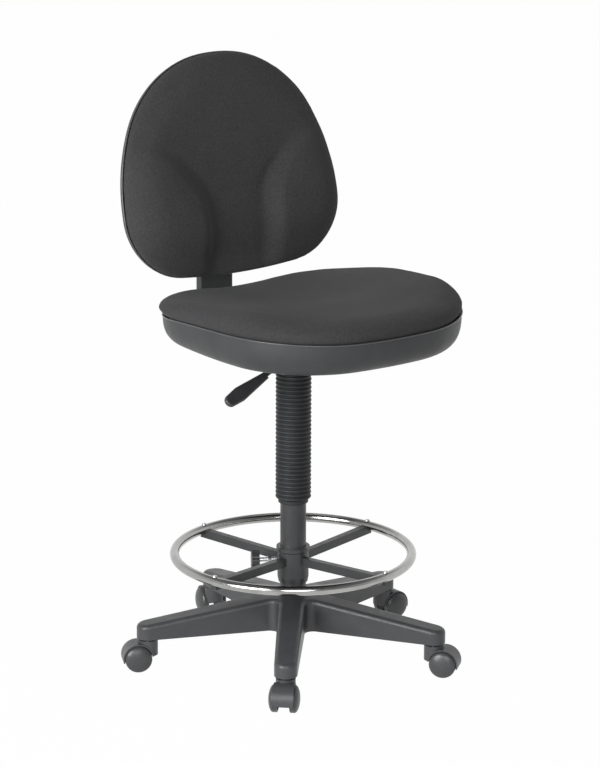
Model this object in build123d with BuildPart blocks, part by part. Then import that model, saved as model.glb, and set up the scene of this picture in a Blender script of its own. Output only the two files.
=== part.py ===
# Drafting chair: five-star base on twin-wheel casters, gas-lift column in a ribbed boot, chromed
# foot ring, upholstered seat in a moulded shell, and an upholstered back on a J-shaped steel bar.
# Millimetres. The origin is on the floor under the column, +Z is up and the sitter faces -Y.
# Headings are in degrees from -Y towards +X.
import os
from bisect import bisect_left
from math import atan2, cos, hypot, radians, sin, sqrt

from build123d import *

# Driving dimensions: base
leg_count = 5
base_heading = -38.56
base_bottom = 61.5
leg_root_width = 50.0
leg_tip_width = 42.0
leg_root_reach = 20.0
caster_reach = 277.0
leg_tip_top = 90.5
leg_slope = 0.14
leg_edge_radius = 8.0
leg_corner_radius = 16.0
rib_pocket_depth = 22.0
rib_pocket_starts = (64.0, 128.0, 192.0)
rib_pocket_length = 58.0
rib_pocket_width = 34.0
rib_pocket_corner = 5.0
cut_over = 1.0

# Driving dimensions: casters
wheel_radius = 25.0
wheel_inner_face = 11.3
wheel_outer_face = 28.5
wheel_dome = 9.5
wheel_cap_angle = 10.0
wheel_hub_radius = 8.0
wheel_rim_wall = 4.0
wheel_chamfer = 1.0
wheel_bore_clearance = 0.05
wheel_bore_space = 1.0
axle_radius = 4.0
axle_half_length = 25.0
axle_chamfer = 0.5
caster_trail = 20.0
caster_headings = (-43.0, 40.0, 92.0, 164.0, -116.0)
hood_radius = 28.4
hood_wall = 2.5
hood_half_width = 19.0
hood_web_half_width = 10.6
hood_low_edge = 18.0
hood_stem_edge = 29.0
hood_boss_radius = 18.0
hood_hub_radius = 8.8
hood_top = 57.5
stem_radius = 5.5
stem_bottom = 36.0
stem_top = 82.0
stem_collar_radius = 9.0
stem_collar_gap = 0.5

# Driving dimensions: column and gas lift
column_radius = 24.0
column_foot_radius = 23.0
column_taper_top = 120.0
column_wall = 2.0
column_bottom = 64.0
column_top = 503.0
column_floor = 3.5
bush_length = 34.0
bush_flange = 4.0
running_clearance = 0.05
loose_clearance = 0.3
tube_radius = 14.0
tube_wall = 2.0
tube_bottom = 185.0
tube_taper_bottom = 564.0
tube_top = 600.0
tube_top_radius = 13.25
tube_top_chamfer = 1.5
tube_plug_bottom = 578.0
rod_radius = 5.0
rod_neck_radius = 4.0
rod_bottom = 60.0
rod_shoulder = 74.0
rod_top = 418.0
piston_height = 14.0
clip_bottom = 62.3
clip_thickness = 1.0
clip_radius = 7.5
clip_groove_radius = 3.3
clip_clearance = 0.1
bearing_radius = 11.0
bearing_washer = 1.5
ball_radius = 1.75
ball_circle = 7.75
ball_count = 8
button_radius = 3.0
button_bottom = 588.5
button_top = 606.0
button_round = 0.8
button_space = 5.0
gland_length = 18.0

# Driving dimensions: ribbed boot
boot_bottom = 302.0
boot_top = 556.4
boot_neck_height = 7.0
boot_neck_radius = 27.5
boot_rib_count = 31
boot_rib_radius = 33.0
boot_valley_radius = 29.0
boot_bore_radius = 25.5
boot_neck_bore_radius = 24.4
boot_neck_blend = 0.5
boot_crest = (0.3, 0.62, 0.92)

# Driving dimensions: foot ring
ring_radius = 219.8
ring_tube_radius = 8.8
ring_tube_wall = 1.5
ring_height = 201.5
spoke_heading = 14.0
spoke_count = 4
spoke_width = 12.5
spoke_depth = 16.0
spoke_hub_height = 190.0
spoke_ring_height = 195.0
spoke_reach = 224.0
collar_radius = 29.0
collar_lip_radius = 31.0
collar_bush_wall = 2.0
collar_bottom = 148.0
collar_top = 216.0
collar_foot_step = 2.0
collar_foot_height = 10.0
collar_lip_height = 7.0
screw_head_radius = 5.0
screw_head_height = 2.6
screw_head_taper = 25.0
clamp_heading = -121.0
clamp_height = 190.0
clamp_stud_inner = 26.2
clamp_knob_reach = 63.0
clamp_nut_reach = 41.0
clamp_nut_radius = 7.5
clamp_nut_thickness = 6.0

# Driving dimensions: seat
seat_centre_y = -68.0
seat_rim_height = 681.0
seat_tilt = 2.5
seat_rim_arch = 14.0
rim_top = 60.0
seat_half_width = 246.5
seat_front = dict(reach=244.5, end=667.0, corner=194.0, side=660.0)
seat_rear = dict(reach=250.0, end=1108.0, corner=160.0, side=1108.0)
seat_shell_depth = 63.5
seat_shell_wall = 3.0
shell_boss_radius = 9.0
seat_shell_turn = 60.0
seat_shell_lip = 4.0
shell_fullness = 3.2
seat_mount_depth = 58.0
mount_pad_margin = 8.0
mount_pad_height = 12.0
mount_pad_gap = 1.5
seat_cushion_foot = (-18.0, 0.0)
seat_cushion_swell = (8.0, -5.0)
seat_cushion_crown = 20.0
seat_cushion_turn = 54.0
seat_roll_radius = 2400.0
seat_roll_start = 0.0
seat_roll_end = -300.0
loft_steps = 8
curve_steps = 400
seat_cushion_gap = 0.6
seat_cushion_inset = 8.0
seat_board_inset = 18.0
seat_board_top = -22.0
seat_board_thickness = 12.0
seat_dish_radius = 1500.0
seat_dish_depth = 10.0
seat_dish_offset = 100.0
seat_bolts_at = ((-64.0, 0.0), (64.0, 0.0), (-64.0, 168.0), (64.0, 168.0))
bolt_radius = 3.0
bolt_clearance = 0.4
bolt_head_radius = 5.8
bolt_head_height = 4.0
bolt_short = 0.5
nut_flange = 1.2
nut_radius = 9.0
nut_barrel_radius = 4.2
nut_barrel_length = 8.0

# Driving dimensions: seat mechanism and lever
pan_bottom = 557.0
pan_wall = 3.0
pan_width = 96.0
pan_front = -36.0
pan_rear = 100.0
pan_corner = 14.0
pan_blank_height = 100.0
flange_width = 160.0
flange_front = -26.0
flange_rear = 194.0
socket_radius = 19.0
socket_top = 590.0
lever_heading = -78.0
lever_pivot = (28.0, 592.8)
lever_rod_radius = 3.5
lever_slot_height = 576.0
lever_slot_depth = 14.0
lever_slot_tall = 24.0
lever_slot_width = 12.0
lever_path = ((-8.0, 610.1), (10.0, 610.1), (60.0, 562.0))
lever_bend_radius = 9.0
lever_droop = 17.0
lever_rod_run = 42.0
paddle_start = 16.0
paddle_end = 125.0
paddle_width = 28.0
paddle_neck_width = 14.0
paddle_thickness = 10.0
paddle_roll = 50.0
paddle_round = 3.5
paddle_flat = 22.0
paddle_tip_radius = 11.5
pivot_pin_radius = 2.5
pivot_eye_radius = 6.5
pivot_ear_gap = 4.6
pivot_ear_thickness = 3.0

# Driving dimensions: back bar and its knobs
bar_width = 45.0
bar_thickness = 8.0
bar_front = 52.0
bar_centre_y = 254.0
bar_centre_z = 564.6
bar_top = 930.0
bar_bend_radius = 30.0
bar_slot_gap = 0.4
cover_width = 76.0
cover_depth = 17.0
cover_corner = 6.0
cover_bottom = 604.0
cover_top = 752.0
knob_radius = 18.0
knob_thickness = 15.0
knob_lobes = 6
knob_lobe_radius = 5.0
knob_lobe_reach = 20.0
knob_round = 2.0
knob_socket = 9.0
stud_radius = 4.0
stud_boss_radius = 8.8
stud_boss_height = 6.0
depth_knob_y = 72.0
depth_knob_top = 549.0

# Driving dimensions: back
back_centre_z = 840.0
back_seam_y = 203.6
back_lean = 12.0
back_half_width = 233.5
back_upper = dict(reach=268.5, end=335.0, corner=208.0, side=350.0)
back_lower = dict(reach=139.0, end=1300.0, corner=119.0, side=4000.0)
back_shell_depth = 22.0
back_shell_turn = 70.0
back_shell_wall = 2.5
back_boss_radius = 8.0
back_cushion_foot = (0.6, 1.5)
back_cushion_swell = (8.0, -1.0)
back_cushion_crown = 32.0
back_cushion_turn = 81.0
back_cushion_inset = 5.0
back_board_inset = 20.0
back_board_front = -2.0
back_board_thickness = 9.0
bolster_low_at = (132.0, -48.0)
bolster_high_at = (180.0, 60.0)
bolster_low_radius = 68.0
bolster_high_radius = 30.0
bolster_foot = (16.0, 0.0)
bolster_crown = 30.0
bolster_turn = 20.0
bolster_steps = 4
sleeve_bottom = 800.0
sleeve_top = 890.0
sleeve_wall = 4.0
sleeve_clearance = 0.1
bracket_low = -15.0
bracket_high = 85.0
bracket_width = 110.0
bracket_plate = 3.0
bracket_web = 4.0
bracket_web_drop = 30.0
bracket_corner = 12.0
back_screws_at = ((-44.0, 0.0), (44.0, 0.0), (-44.0, 70.0), (44.0, 70.0))
back_screw_radius = 3.0
back_screw_short = 3.0
back_screw_head_radius = 5.5
back_screw_head_height = 3.0
height_knob_z = 845.0
height_knob_start = 272.0

os.makedirs("parts", exist_ok=True)


def save(part, name):
    part.label = name
    export_step(part, f"parts/{name}.step")


def heading(angle):
    return Vector(sin(radians(angle)), -cos(radians(angle)), 0)


# A plane that stands upright along a heading: local x runs outwards, local y runs up
def upright(angle, origin=(0, 0, 0)):
    outward = heading(angle)
    return Plane(origin=origin, x_dir=outward, z_dir=outward.cross(Vector(0, 0, 1)))


# A closed (radius, height) outline, ready to turn about the column
def turned(*points):
    with BuildSketch(Plane.XZ) as outline:
        with BuildLine():
            Polyline(*points, close=True)
        make_face()
    return outline.sketch


# Points of one quarter of an oval: side arc, corner arc and end arc, tangent to one another
def quarter(half_width, reach, end, corner, side, inset):
    side_centre = Vector(half_width - side, 0)
    end_centre = Vector(0, reach - end)
    line = end_centre - side_centre
    apart = line.length
    along = ((side - corner) ** 2 - (end - corner) ** 2 + apart**2) / (2 * apart)
    across = sqrt((side - corner) ** 2 - along**2)
    unit = line / apart
    normal = Vector(-unit.Y, unit.X)
    corner_centre = side_centre + unit * along + normal * across
    from_side = corner_centre - side_centre
    from_end = corner_centre - end_centre
    side_angle = atan2(from_side.Y, from_side.X)
    end_angle = atan2(from_end.Y, from_end.X)

    def at(centre, radius, angle):
        return centre + Vector(cos(angle), sin(angle)) * (radius - inset)

    return (
        at(side_centre, side, 0),
        at(side_centre, side, side_angle / 2),
        at(side_centre, side, side_angle),
        at(corner_centre, corner, (side_angle + end_angle) / 2),
        at(end_centre, end, end_angle),
        at(end_centre, end, radians(90)),
    )


# An oval face of ten tangent arcs, drawn in by an inset, with different upper and lower halves
def oval(plane, half_width, upper, lower, inset):
    right_top = quarter(half_width, inset=inset, **upper)
    right_low = [Vector(p.X, -p.Y) for p in quarter(half_width, inset=inset, **lower)]
    left_top = [Vector(-p.X, p.Y) for p in right_top]
    left_low = [Vector(-p.X, p.Y) for p in right_low]
    with BuildSketch(plane) as outline:
        with BuildLine():
            for side, other in ((right_top, left_top), (right_low, left_low)):
                ThreePointArc(side[0], side[1], side[2])
                ThreePointArc(side[2], side[3], side[4])
                ThreePointArc(side[4], side[5], other[4])
                ThreePointArc(other[4], other[3], other[2])
                ThreePointArc(other[2], other[1], other[0])
        make_face()
    return outline.sketch


seat_plane = Plane(
    origin=(0, seat_centre_y, seat_rim_height),
    x_dir=(1, 0, 0),
    z_dir=(0, sin(radians(seat_tilt)), cos(radians(seat_tilt))),
)
back_plane = Plane(
    origin=(0, back_seam_y, back_centre_z),
    x_dir=(1, 0, 0),
    z_dir=(0, -cos(radians(back_lean)), sin(radians(back_lean))),
)


# The seat's oval: local y runs towards the rear, so the rear half is the upper one
def seat_oval(height, inset):
    return oval(seat_plane.offset(height), seat_half_width, seat_rear, seat_front, inset)


def back_oval(depth, inset):
    return oval(back_plane.offset(depth), back_half_width, back_upper, back_lower, inset)


# A section of the seat shell: its tilt eases off from the rim down to the level floor
def shell_oval(height, inset):
    lean = radians(seat_tilt * (1 + height / seat_shell_depth))
    origin = (0, seat_centre_y, seat_rim_height + height)
    plane = Plane(origin=origin, x_dir=(1, 0, 0), z_dir=(0, sin(lean), cos(lean)))
    return oval(plane, seat_half_width, seat_rear, seat_front, inset)


# Sections of a rounded form: (height, inset) pairs evenly spaced along a quarter ellipse, ending level.
# A fullness over 2 makes it squarer, with steeper sides and a tighter turn.
def rounded(start, rise, turn, steps, fullness=2.0):
    power = 2 / fullness
    curve = [start]
    lengths = [0.0]
    for step in range(1, curve_steps):
        angle = radians(90 * step / curve_steps)
        curve.append((start[0] + rise * sin(angle) ** power, start[1] + turn * (1 - cos(angle) ** power)))
        lengths.append(lengths[-1] + hypot(curve[-1][0] - curve[-2][0], curve[-1][1] - curve[-2][1]))
    spaced = [curve[bisect_left(lengths, lengths[-1] * step / steps)] for step in range(steps)]
    return spaced + [(start[0] + rise, start[1] + turn)]


# Side view of all that lies above or below the arched seat rim, to trim the shell and the cushion
def rim_region(shift, far):
    half_length = max(seat_front["reach"], seat_rear["reach"])
    side_view = Plane(origin=seat_plane.origin, x_dir=seat_plane.y_dir, z_dir=seat_plane.x_dir)
    end_drop = shift - seat_rim_arch
    far_end = half_length + rim_top
    with BuildSketch(side_view) as region:
        with BuildLine():
            ThreePointArc((-half_length, end_drop), (0, shift), (half_length, end_drop))
            Line((half_length, end_drop), (far_end, end_drop))
            Line((far_end, end_drop), (far_end, far))
            Line((far_end, far), (-far_end, far))
            Line((-far_end, far), (-far_end, end_drop))
            Line((-far_end, end_drop), (-half_length, end_drop))
        make_face()
    return region.sketch


# A hand knob with finger lobes: the plane's normal points away from the stud
def lobed_knob(plane):
    with BuildPart() as knob:
        with BuildSketch(plane):
            Circle(knob_radius)
            with PolarLocations(knob_lobe_reach, knob_lobes):
                Circle(knob_lobe_radius, mode=Mode.SUBTRACT)
        extrude(amount=knob_thickness)
        fillet(knob.faces().sort_by(Axis(plane.origin, plane.z_dir))[-1].edges(), radius=knob_round)
        with BuildSketch(plane):
            Circle(stud_radius)
        extrude(amount=knob_socket, mode=Mode.SUBTRACT)
    return knob.part


# Five-star base: legs and hub in one moulding, ribbed underneath
with BuildSketch() as leg_outline:
    with Locations((leg_root_reach, 0)):
        Circle(leg_root_width / 2)
    with Locations((caster_reach, 0)):
        Circle(leg_tip_width / 2)
    make_hull()

leg_start = base_heading - 90
base_reach = caster_reach + leg_tip_width
base_peak = leg_tip_top + leg_slope * caster_reach
base_edge = leg_tip_top - leg_slope * (base_reach - caster_reach)

with BuildPart() as base_star:
    with BuildSketch(Plane.XY.offset(base_bottom)) as star_outline:
        with PolarLocations(0, leg_count, start_angle=leg_start):
            add(leg_outline.sketch)
        inner_corners = star_outline.vertices().sort_by(lambda v: hypot(v.X, v.Y))[:leg_count]
        fillet(inner_corners, radius=leg_corner_radius)
    extrude(amount=base_peak)
    revolve(
        turned((0, base_peak), (base_reach, base_edge), (base_reach, base_peak * 2), (0, base_peak * 2)),
        axis=Axis.Z,
        mode=Mode.SUBTRACT,
    )
    top_edges = base_star.faces().sort_by(Axis.Z)[-1].edges()
    fillet(top_edges, radius=leg_edge_radius)
    with BuildSketch(Plane.XY.offset(base_bottom)):
        with PolarLocations(0, leg_count, start_angle=leg_start):
            for start in rib_pocket_starts:
                with Locations((start + rib_pocket_length / 2, 0)):
                    RectangleRounded(rib_pocket_length, rib_pocket_width, rib_pocket_corner)
    extrude(amount=rib_pocket_depth, mode=Mode.SUBTRACT)
    with BuildSketch(Plane.XY.offset(base_bottom)):
        with PolarLocations(caster_reach, leg_count, start_angle=leg_start):
            Circle(stem_radius)
    extrude(amount=stem_top - base_bottom, mode=Mode.SUBTRACT)
    revolve(
        turned(
            (0, base_bottom - cut_over),
            (column_foot_radius, base_bottom - cut_over),
            (column_foot_radius, column_bottom),
            (column_radius, column_taper_top),
            (column_radius, base_peak + cut_over),
            (0, base_peak + cut_over),
        ),
        axis=Axis.Z,
        mode=Mode.SUBTRACT,
    )
save(base_star.part, "base_star")

# Caster stems: pressed up into the leg tips, the hoods swivel on them
with BuildPart() as caster_stems:
    for leg in range(leg_count):
        foot = heading(base_heading + leg * 360 / leg_count) * caster_reach
        with BuildSketch(Plane.XY.offset(stem_bottom)):
            with Locations((foot.X, foot.Y)):
                Circle(stem_radius)
        extrude(amount=stem_top - stem_bottom - cut_over)
        with BuildSketch(Plane.XY.offset(hood_top + stem_collar_gap)):
            with Locations((foot.X, foot.Y)):
                Circle(stem_collar_radius)
        extrude(amount=base_bottom - hood_top - stem_collar_gap)
save(caster_stems.part, "caster_stems")


# Caster hood: web between the wheels, fender over them and a boss round the stem
def caster_hood(plane):
    axle_height = plane.origin.Z
    stem_x = -caster_trail
    inner_radius = hood_radius - hood_wall
    with BuildPart() as hood:
        with BuildSketch(plane):
            Circle(hood_radius)
            with Locations((0, hood_low_edge - axle_height - hood_radius)):
                Rectangle(hood_radius * 2, hood_radius * 2, mode=Mode.SUBTRACT)
            with Locations((-hood_radius, hood_stem_edge - axle_height - hood_radius)):
                Rectangle(hood_radius * 2, hood_radius * 2, mode=Mode.SUBTRACT)
            Circle(hood_hub_radius)
        extrude(amount=hood_half_width, both=True)
        stem_foot = plane.from_local_coords((stem_x, 0, 0))
        with BuildSketch(Plane.XY.offset(hood_stem_edge)):
            with Locations((stem_foot.X, stem_foot.Y)):
                Circle(hood_boss_radius)
        extrude(amount=hood_top - hood_stem_edge)
        for side in (1, -1):
            with BuildSketch(plane.offset(side * hood_web_half_width)):
                Circle(inner_radius)
            extrude(amount=side * hood_radius, mode=Mode.SUBTRACT)
        with BuildSketch(Plane.XY.offset(stem_bottom - cut_over)):
            with Locations((stem_foot.X, stem_foot.Y)):
                Circle(stem_radius + running_clearance)
        extrude(amount=hood_top, mode=Mode.SUBTRACT)
        with BuildSketch(plane):
            Circle(axle_radius)
        extrude(amount=hood_radius, both=True, mode=Mode.SUBTRACT)
    return hood.part


def caster_axle(plane):
    with BuildPart() as axle:
        with BuildSketch(plane):
            Circle(axle_radius)
        extrude(amount=axle_half_length, both=True)
        chamfer(axle.edges(), length=axle_chamfer)
    return axle.part


# Twin wheel: rim, disc and hub of one moulding, domed outside and hollow towards the hood
def caster_wheel(plane, side):
    axle_dir = plane.z_dir * side
    across = Plane(origin=plane.origin, x_dir=axle_dir, z_dir=axle_dir.cross(Vector(0, 0, 1)))
    bore = axle_radius + wheel_bore_clearance
    rim_inside = wheel_radius - wheel_rim_wall
    shoulder = wheel_outer_face - wheel_dome
    bore_end = axle_half_length + wheel_bore_space
    cap_edge = shoulder + wheel_dome * cos(radians(wheel_cap_angle))
    cap_radius = wheel_radius * sin(radians(wheel_cap_angle))
    with BuildPart() as wheel:
        with BuildSketch(across):
            with BuildLine():
                Polyline(
                    (cap_edge, cap_radius),
                    (cap_edge, 0),
                    (bore_end, 0),
                    (bore_end, bore),
                    (wheel_inner_face, bore),
                    (wheel_inner_face, wheel_hub_radius),
                    (shoulder, wheel_hub_radius),
                    (shoulder, rim_inside),
                    (wheel_inner_face, rim_inside),
                    (wheel_inner_face, wheel_radius - wheel_chamfer),
                    (wheel_inner_face + wheel_chamfer, wheel_radius),
                    (shoulder, wheel_radius),
                )
                dome_arc = 90 - wheel_cap_angle
                foot = (shoulder, 0)
                EllipticalCenterArc(foot, wheel_dome, wheel_radius, wheel_cap_angle, arc_size=dome_arc)
            make_face()
        revolve(axis=Axis(plane.origin, axle_dir))
    return wheel.part


for leg in range(leg_count):
    number = leg + 1
    foot = heading(base_heading + leg * 360 / leg_count) * caster_reach
    trail = heading(caster_headings[leg])
    axle_plane = upright(caster_headings[leg], foot + trail * caster_trail + Vector(0, 0, wheel_radius))
    save(caster_hood(axle_plane), f"caster_hood_{number}")
    save(caster_axle(axle_plane), f"caster_axle_{number}")
    save(caster_wheel(axle_plane, 1), f"caster_wheel_{number}_a")
    save(caster_wheel(axle_plane, -1), f"caster_wheel_{number}_b")

# Outer column: a steel tube with a tapered foot and a floor that carries the thrust bearing
column_bore = column_radius - column_wall
column_foot_bore = column_foot_radius - column_wall
with BuildPart() as column_tube:
    revolve(
        turned(
            (rod_neck_radius + running_clearance, column_bottom),
            (column_foot_radius, column_bottom),
            (column_radius, column_taper_top),
            (column_radius, column_top),
            (column_bore, column_top),
            (column_bore, column_taper_top),
            (column_foot_bore, column_bottom + column_floor),
            (rod_neck_radius + running_clearance, column_bottom + column_floor),
        ),
        axis=Axis.Z,
    )
save(column_tube.part, "column_tube")

# Guide bush in the column's mouth
with BuildPart() as column_bush:
    revolve(
        turned(
            (tube_radius + running_clearance, column_top - bush_length),
            (column_bore, column_top - bush_length),
            (column_bore, column_top),
            (column_radius, column_top),
            (column_radius - 1, column_top + bush_flange),
            (tube_radius + running_clearance, column_top + bush_flange),
        ),
        axis=Axis.Z,
    )
save(column_bush.part, "column_bush")

# Thrust bearing: two washers and a ring of balls on the column's floor
bearing_floor = column_bottom + column_floor
with BuildPart() as thrust_bearing:
    for washer_bottom in (bearing_floor, bearing_floor + bearing_washer + 2 * ball_radius):
        with BuildSketch(Plane.XY.offset(washer_bottom)):
            Circle(bearing_radius)
            Circle(rod_neck_radius + loose_clearance, mode=Mode.SUBTRACT)
        extrude(amount=bearing_washer)
    with Locations((0, 0, bearing_floor + bearing_washer + ball_radius)):
        with PolarLocations(ball_circle, ball_count):
            Sphere(ball_radius)
save(thrust_bearing.part, "thrust_bearing")

# Piston rod: stands on the bearing by its shoulder, held under the column's floor by a clip
with BuildPart() as piston_rod:
    revolve(
        turned(
            (0, rod_bottom),
            (rod_neck_radius, rod_bottom),
            (rod_neck_radius, clip_bottom - clip_clearance),
            (clip_groove_radius, clip_bottom - clip_clearance),
            (clip_groove_radius, clip_bottom + clip_thickness + clip_clearance),
            (rod_neck_radius, clip_bottom + clip_thickness + clip_clearance),
            (rod_neck_radius, rod_shoulder + running_clearance),
            (rod_radius, rod_shoulder + running_clearance),
            (rod_radius, rod_top - piston_height),
            (rod_neck_radius, rod_top - piston_height),
            (rod_neck_radius, rod_top),
            (0, rod_top),
        ),
        axis=Axis.Z,
    )
save(piston_rod.part, "piston_rod")

with BuildPart() as rod_clip:
    with BuildSketch(Plane.XY.offset(clip_bottom)):
        Circle(clip_radius)
        Circle(clip_groove_radius, mode=Mode.SUBTRACT)
        with Locations((clip_radius, 0)):
            Rectangle(clip_radius * 2, clip_groove_radius * 1.8, mode=Mode.SUBTRACT)
    extrude(amount=clip_thickness)
save(rod_clip.part, "rod_clip")

with BuildPart() as piston:
    with BuildSketch(Plane.XY.offset(rod_top - piston_height)):
        Circle(tube_radius - tube_wall - running_clearance)
        Circle(rod_neck_radius, mode=Mode.SUBTRACT)
    extrude(amount=piston_height)
save(piston.part, "piston")

# Pressure tube: slides in the guide bush, its tapered head sits in the seat mechanism
tube_bore = tube_radius - tube_wall
button_bore = button_radius + running_clearance
with BuildPart() as pressure_tube:
    revolve(
        turned(
            (tube_bore, tube_bottom),
            (tube_radius, tube_bottom),
            (tube_radius, tube_taper_bottom),
            (tube_top_radius, socket_top),
            (tube_top_radius, tube_top - tube_top_chamfer),
            (tube_top_radius - tube_top_chamfer, tube_top),
            (button_bore, tube_top),
            (button_bore, button_bottom - button_space),
            (0, button_bottom - button_space),
            (0, tube_plug_bottom),
            (tube_bore, tube_plug_bottom),
        ),
        axis=Axis.Z,
    )
save(pressure_tube.part, "pressure_tube")

with BuildPart() as tube_gland:
    with BuildSketch(Plane.XY.offset(tube_bottom)):
        Circle(tube_bore)
        Circle(rod_radius + running_clearance, mode=Mode.SUBTRACT)
    extrude(amount=gland_length)
save(tube_gland.part, "tube_gland")

with BuildPart() as valve_button:
    with BuildSketch(Plane.XY.offset(button_bottom)):
        Circle(button_radius)
    extrude(amount=button_top - button_bottom)
    fillet(valve_button.edges().sort_by(Axis.Z)[-1], radius=button_round)
save(valve_button.part, "valve_button")

# Ribbed boot round the column: a ruled loft through four circles for each rib, then bored
boot_rib_bottom = boot_bottom + boot_neck_height
boot_pitch = (boot_top - boot_rib_bottom) / boot_rib_count
rib_steps = (
    (0, boot_valley_radius),
    (boot_crest[0], boot_rib_radius),
    (boot_crest[1], boot_rib_radius),
    (boot_crest[2], boot_valley_radius),
)
boot_rings = [(boot_bottom, boot_neck_radius), (boot_rib_bottom - boot_neck_blend, boot_neck_radius)]
for rib in range(boot_rib_count):
    for step, radius in rib_steps:
        boot_rings.append((boot_rib_bottom + (rib + step) * boot_pitch, radius))
boot_rings.append((boot_top, boot_valley_radius))


def ring_face(height, radius):
    with BuildSketch(Plane.XY.offset(height)) as ring:
        Circle(radius)
    return ring.sketch


with BuildPart() as boot:
    loft([ring_face(height, radius) for height, radius in boot_rings], ruled=True)
    with BuildSketch(Plane.XY.offset(boot_bottom)):
        Circle(boot_neck_bore_radius)
    extrude(amount=boot_top - boot_bottom, mode=Mode.SUBTRACT)
    with BuildSketch(Plane.XY.offset(boot_rib_bottom)):
        Circle(boot_bore_radius)
    extrude(amount=boot_top - boot_rib_bottom, mode=Mode.SUBTRACT)
save(boot.part, "boot")

# Foot ring: a bent tube, drilled for its four screws
with BuildPart() as foot_ring:
    with BuildSketch(Plane.XZ):
        with Locations((ring_radius, ring_height)):
            Circle(ring_tube_radius)
            Circle(ring_tube_radius - ring_tube_wall, mode=Mode.SUBTRACT)
    revolve(axis=Axis.Z)
    with BuildSketch(Plane.XY.offset(ring_height - 2 * ring_tube_radius)):
        with PolarLocations(ring_radius, spoke_count, start_angle=spoke_heading - 90):
            Circle(bolt_radius)
    extrude(amount=4 * ring_tube_radius, mode=Mode.SUBTRACT)
save(foot_ring.part, "foot_ring")

# Ring hub: collar and four spokes, notched at their ends to seat the ring
collar_bore = column_radius + running_clearance + collar_bush_wall
spoke_root = collar_radius - collar_foot_step
clamp_plane = Plane(origin=(0, 0, clamp_height), x_dir=(0, 0, 1), z_dir=heading(clamp_heading))
with BuildPart() as ring_hub:
    revolve(
        turned(
            (collar_bore, collar_bottom),
            (collar_radius - collar_foot_step, collar_bottom),
            (collar_radius, collar_bottom + collar_foot_height),
            (collar_radius, collar_top - collar_lip_height - collar_foot_step),
            (collar_lip_radius, collar_top - collar_lip_height),
            (collar_lip_radius, collar_top),
            (collar_bore, collar_top),
        ),
        axis=Axis.Z,
    )
    for spoke in range(spoke_count):
        side_view = upright(spoke_heading + spoke * 360 / spoke_count)
        with BuildSketch(side_view):
            with BuildLine():
                Polyline(
                    (spoke_root, spoke_hub_height - spoke_depth / 2),
                    (spoke_reach, spoke_ring_height - spoke_depth / 2),
                    (spoke_reach, spoke_ring_height + spoke_depth / 2),
                    (spoke_root, spoke_hub_height + spoke_depth / 2),
                    close=True,
                )
            make_face()
        extrude(amount=spoke_width / 2, both=True)
    with BuildSketch(Plane.XZ):
        with Locations((ring_radius, ring_height)):
            Circle(ring_tube_radius)
    revolve(axis=Axis.Z, mode=Mode.SUBTRACT)
    with BuildSketch(Plane.XY.offset(ring_height)):
        Circle(spoke_reach + spoke_width)
        Circle(ring_radius, mode=Mode.SUBTRACT)
    extrude(amount=ring_tube_radius, mode=Mode.SUBTRACT)
    with BuildSketch(Plane.XY.offset(spoke_hub_height - spoke_depth)):
        with PolarLocations(ring_radius, spoke_count, start_angle=spoke_heading - 90):
            Circle(bolt_radius)
    extrude(amount=2 * spoke_depth, mode=Mode.SUBTRACT)
    with BuildSketch(clamp_plane):
        Circle(stud_radius + running_clearance)
    extrude(amount=collar_lip_radius + cut_over, mode=Mode.SUBTRACT)
save(ring_hub.part, "ring_hub")

with BuildPart() as ring_bush:
    with BuildSketch(Plane.XY.offset(collar_bottom)):
        Circle(collar_bore)
        Circle(column_radius + running_clearance, mode=Mode.SUBTRACT)
    extrude(amount=collar_top - collar_bottom)
save(ring_bush.part, "ring_bush")

# Ring screws: round heads on top of the tube, shanks down into the spoke ends
screw_foot = spoke_ring_height - spoke_depth / 2 + cut_over
with BuildPart() as ring_screws:
    for spoke in range(spoke_count):
        at = heading(spoke_heading + spoke * 360 / spoke_count) * ring_radius
        with BuildSketch(Plane.XY.offset(screw_foot)):
            with Locations((at.X, at.Y)):
                Circle(bolt_radius)
        extrude(amount=ring_height + ring_tube_radius - screw_foot)
        with BuildSketch(Plane.XY.offset(ring_height + ring_tube_radius)):
            with Locations((at.X, at.Y)):
                Circle(screw_head_radius)
        extrude(amount=screw_head_height, taper=screw_head_taper)
save(ring_screws.part, "ring_screws")

# Clamp screw of the foot ring
with BuildPart() as clamp_stud:
    with BuildSketch(clamp_plane.offset(clamp_stud_inner)):
        Circle(stud_radius)
    extrude(amount=clamp_knob_reach + knob_socket - clamp_stud_inner)
    with BuildSketch(clamp_plane.offset(clamp_nut_reach)):
        RegularPolygon(clamp_nut_radius, 6)
    extrude(amount=clamp_nut_thickness)
save(clamp_stud.part, "clamp_stud")
save(lobed_knob(clamp_plane.offset(clamp_knob_reach)), "clamp_knob")

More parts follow.
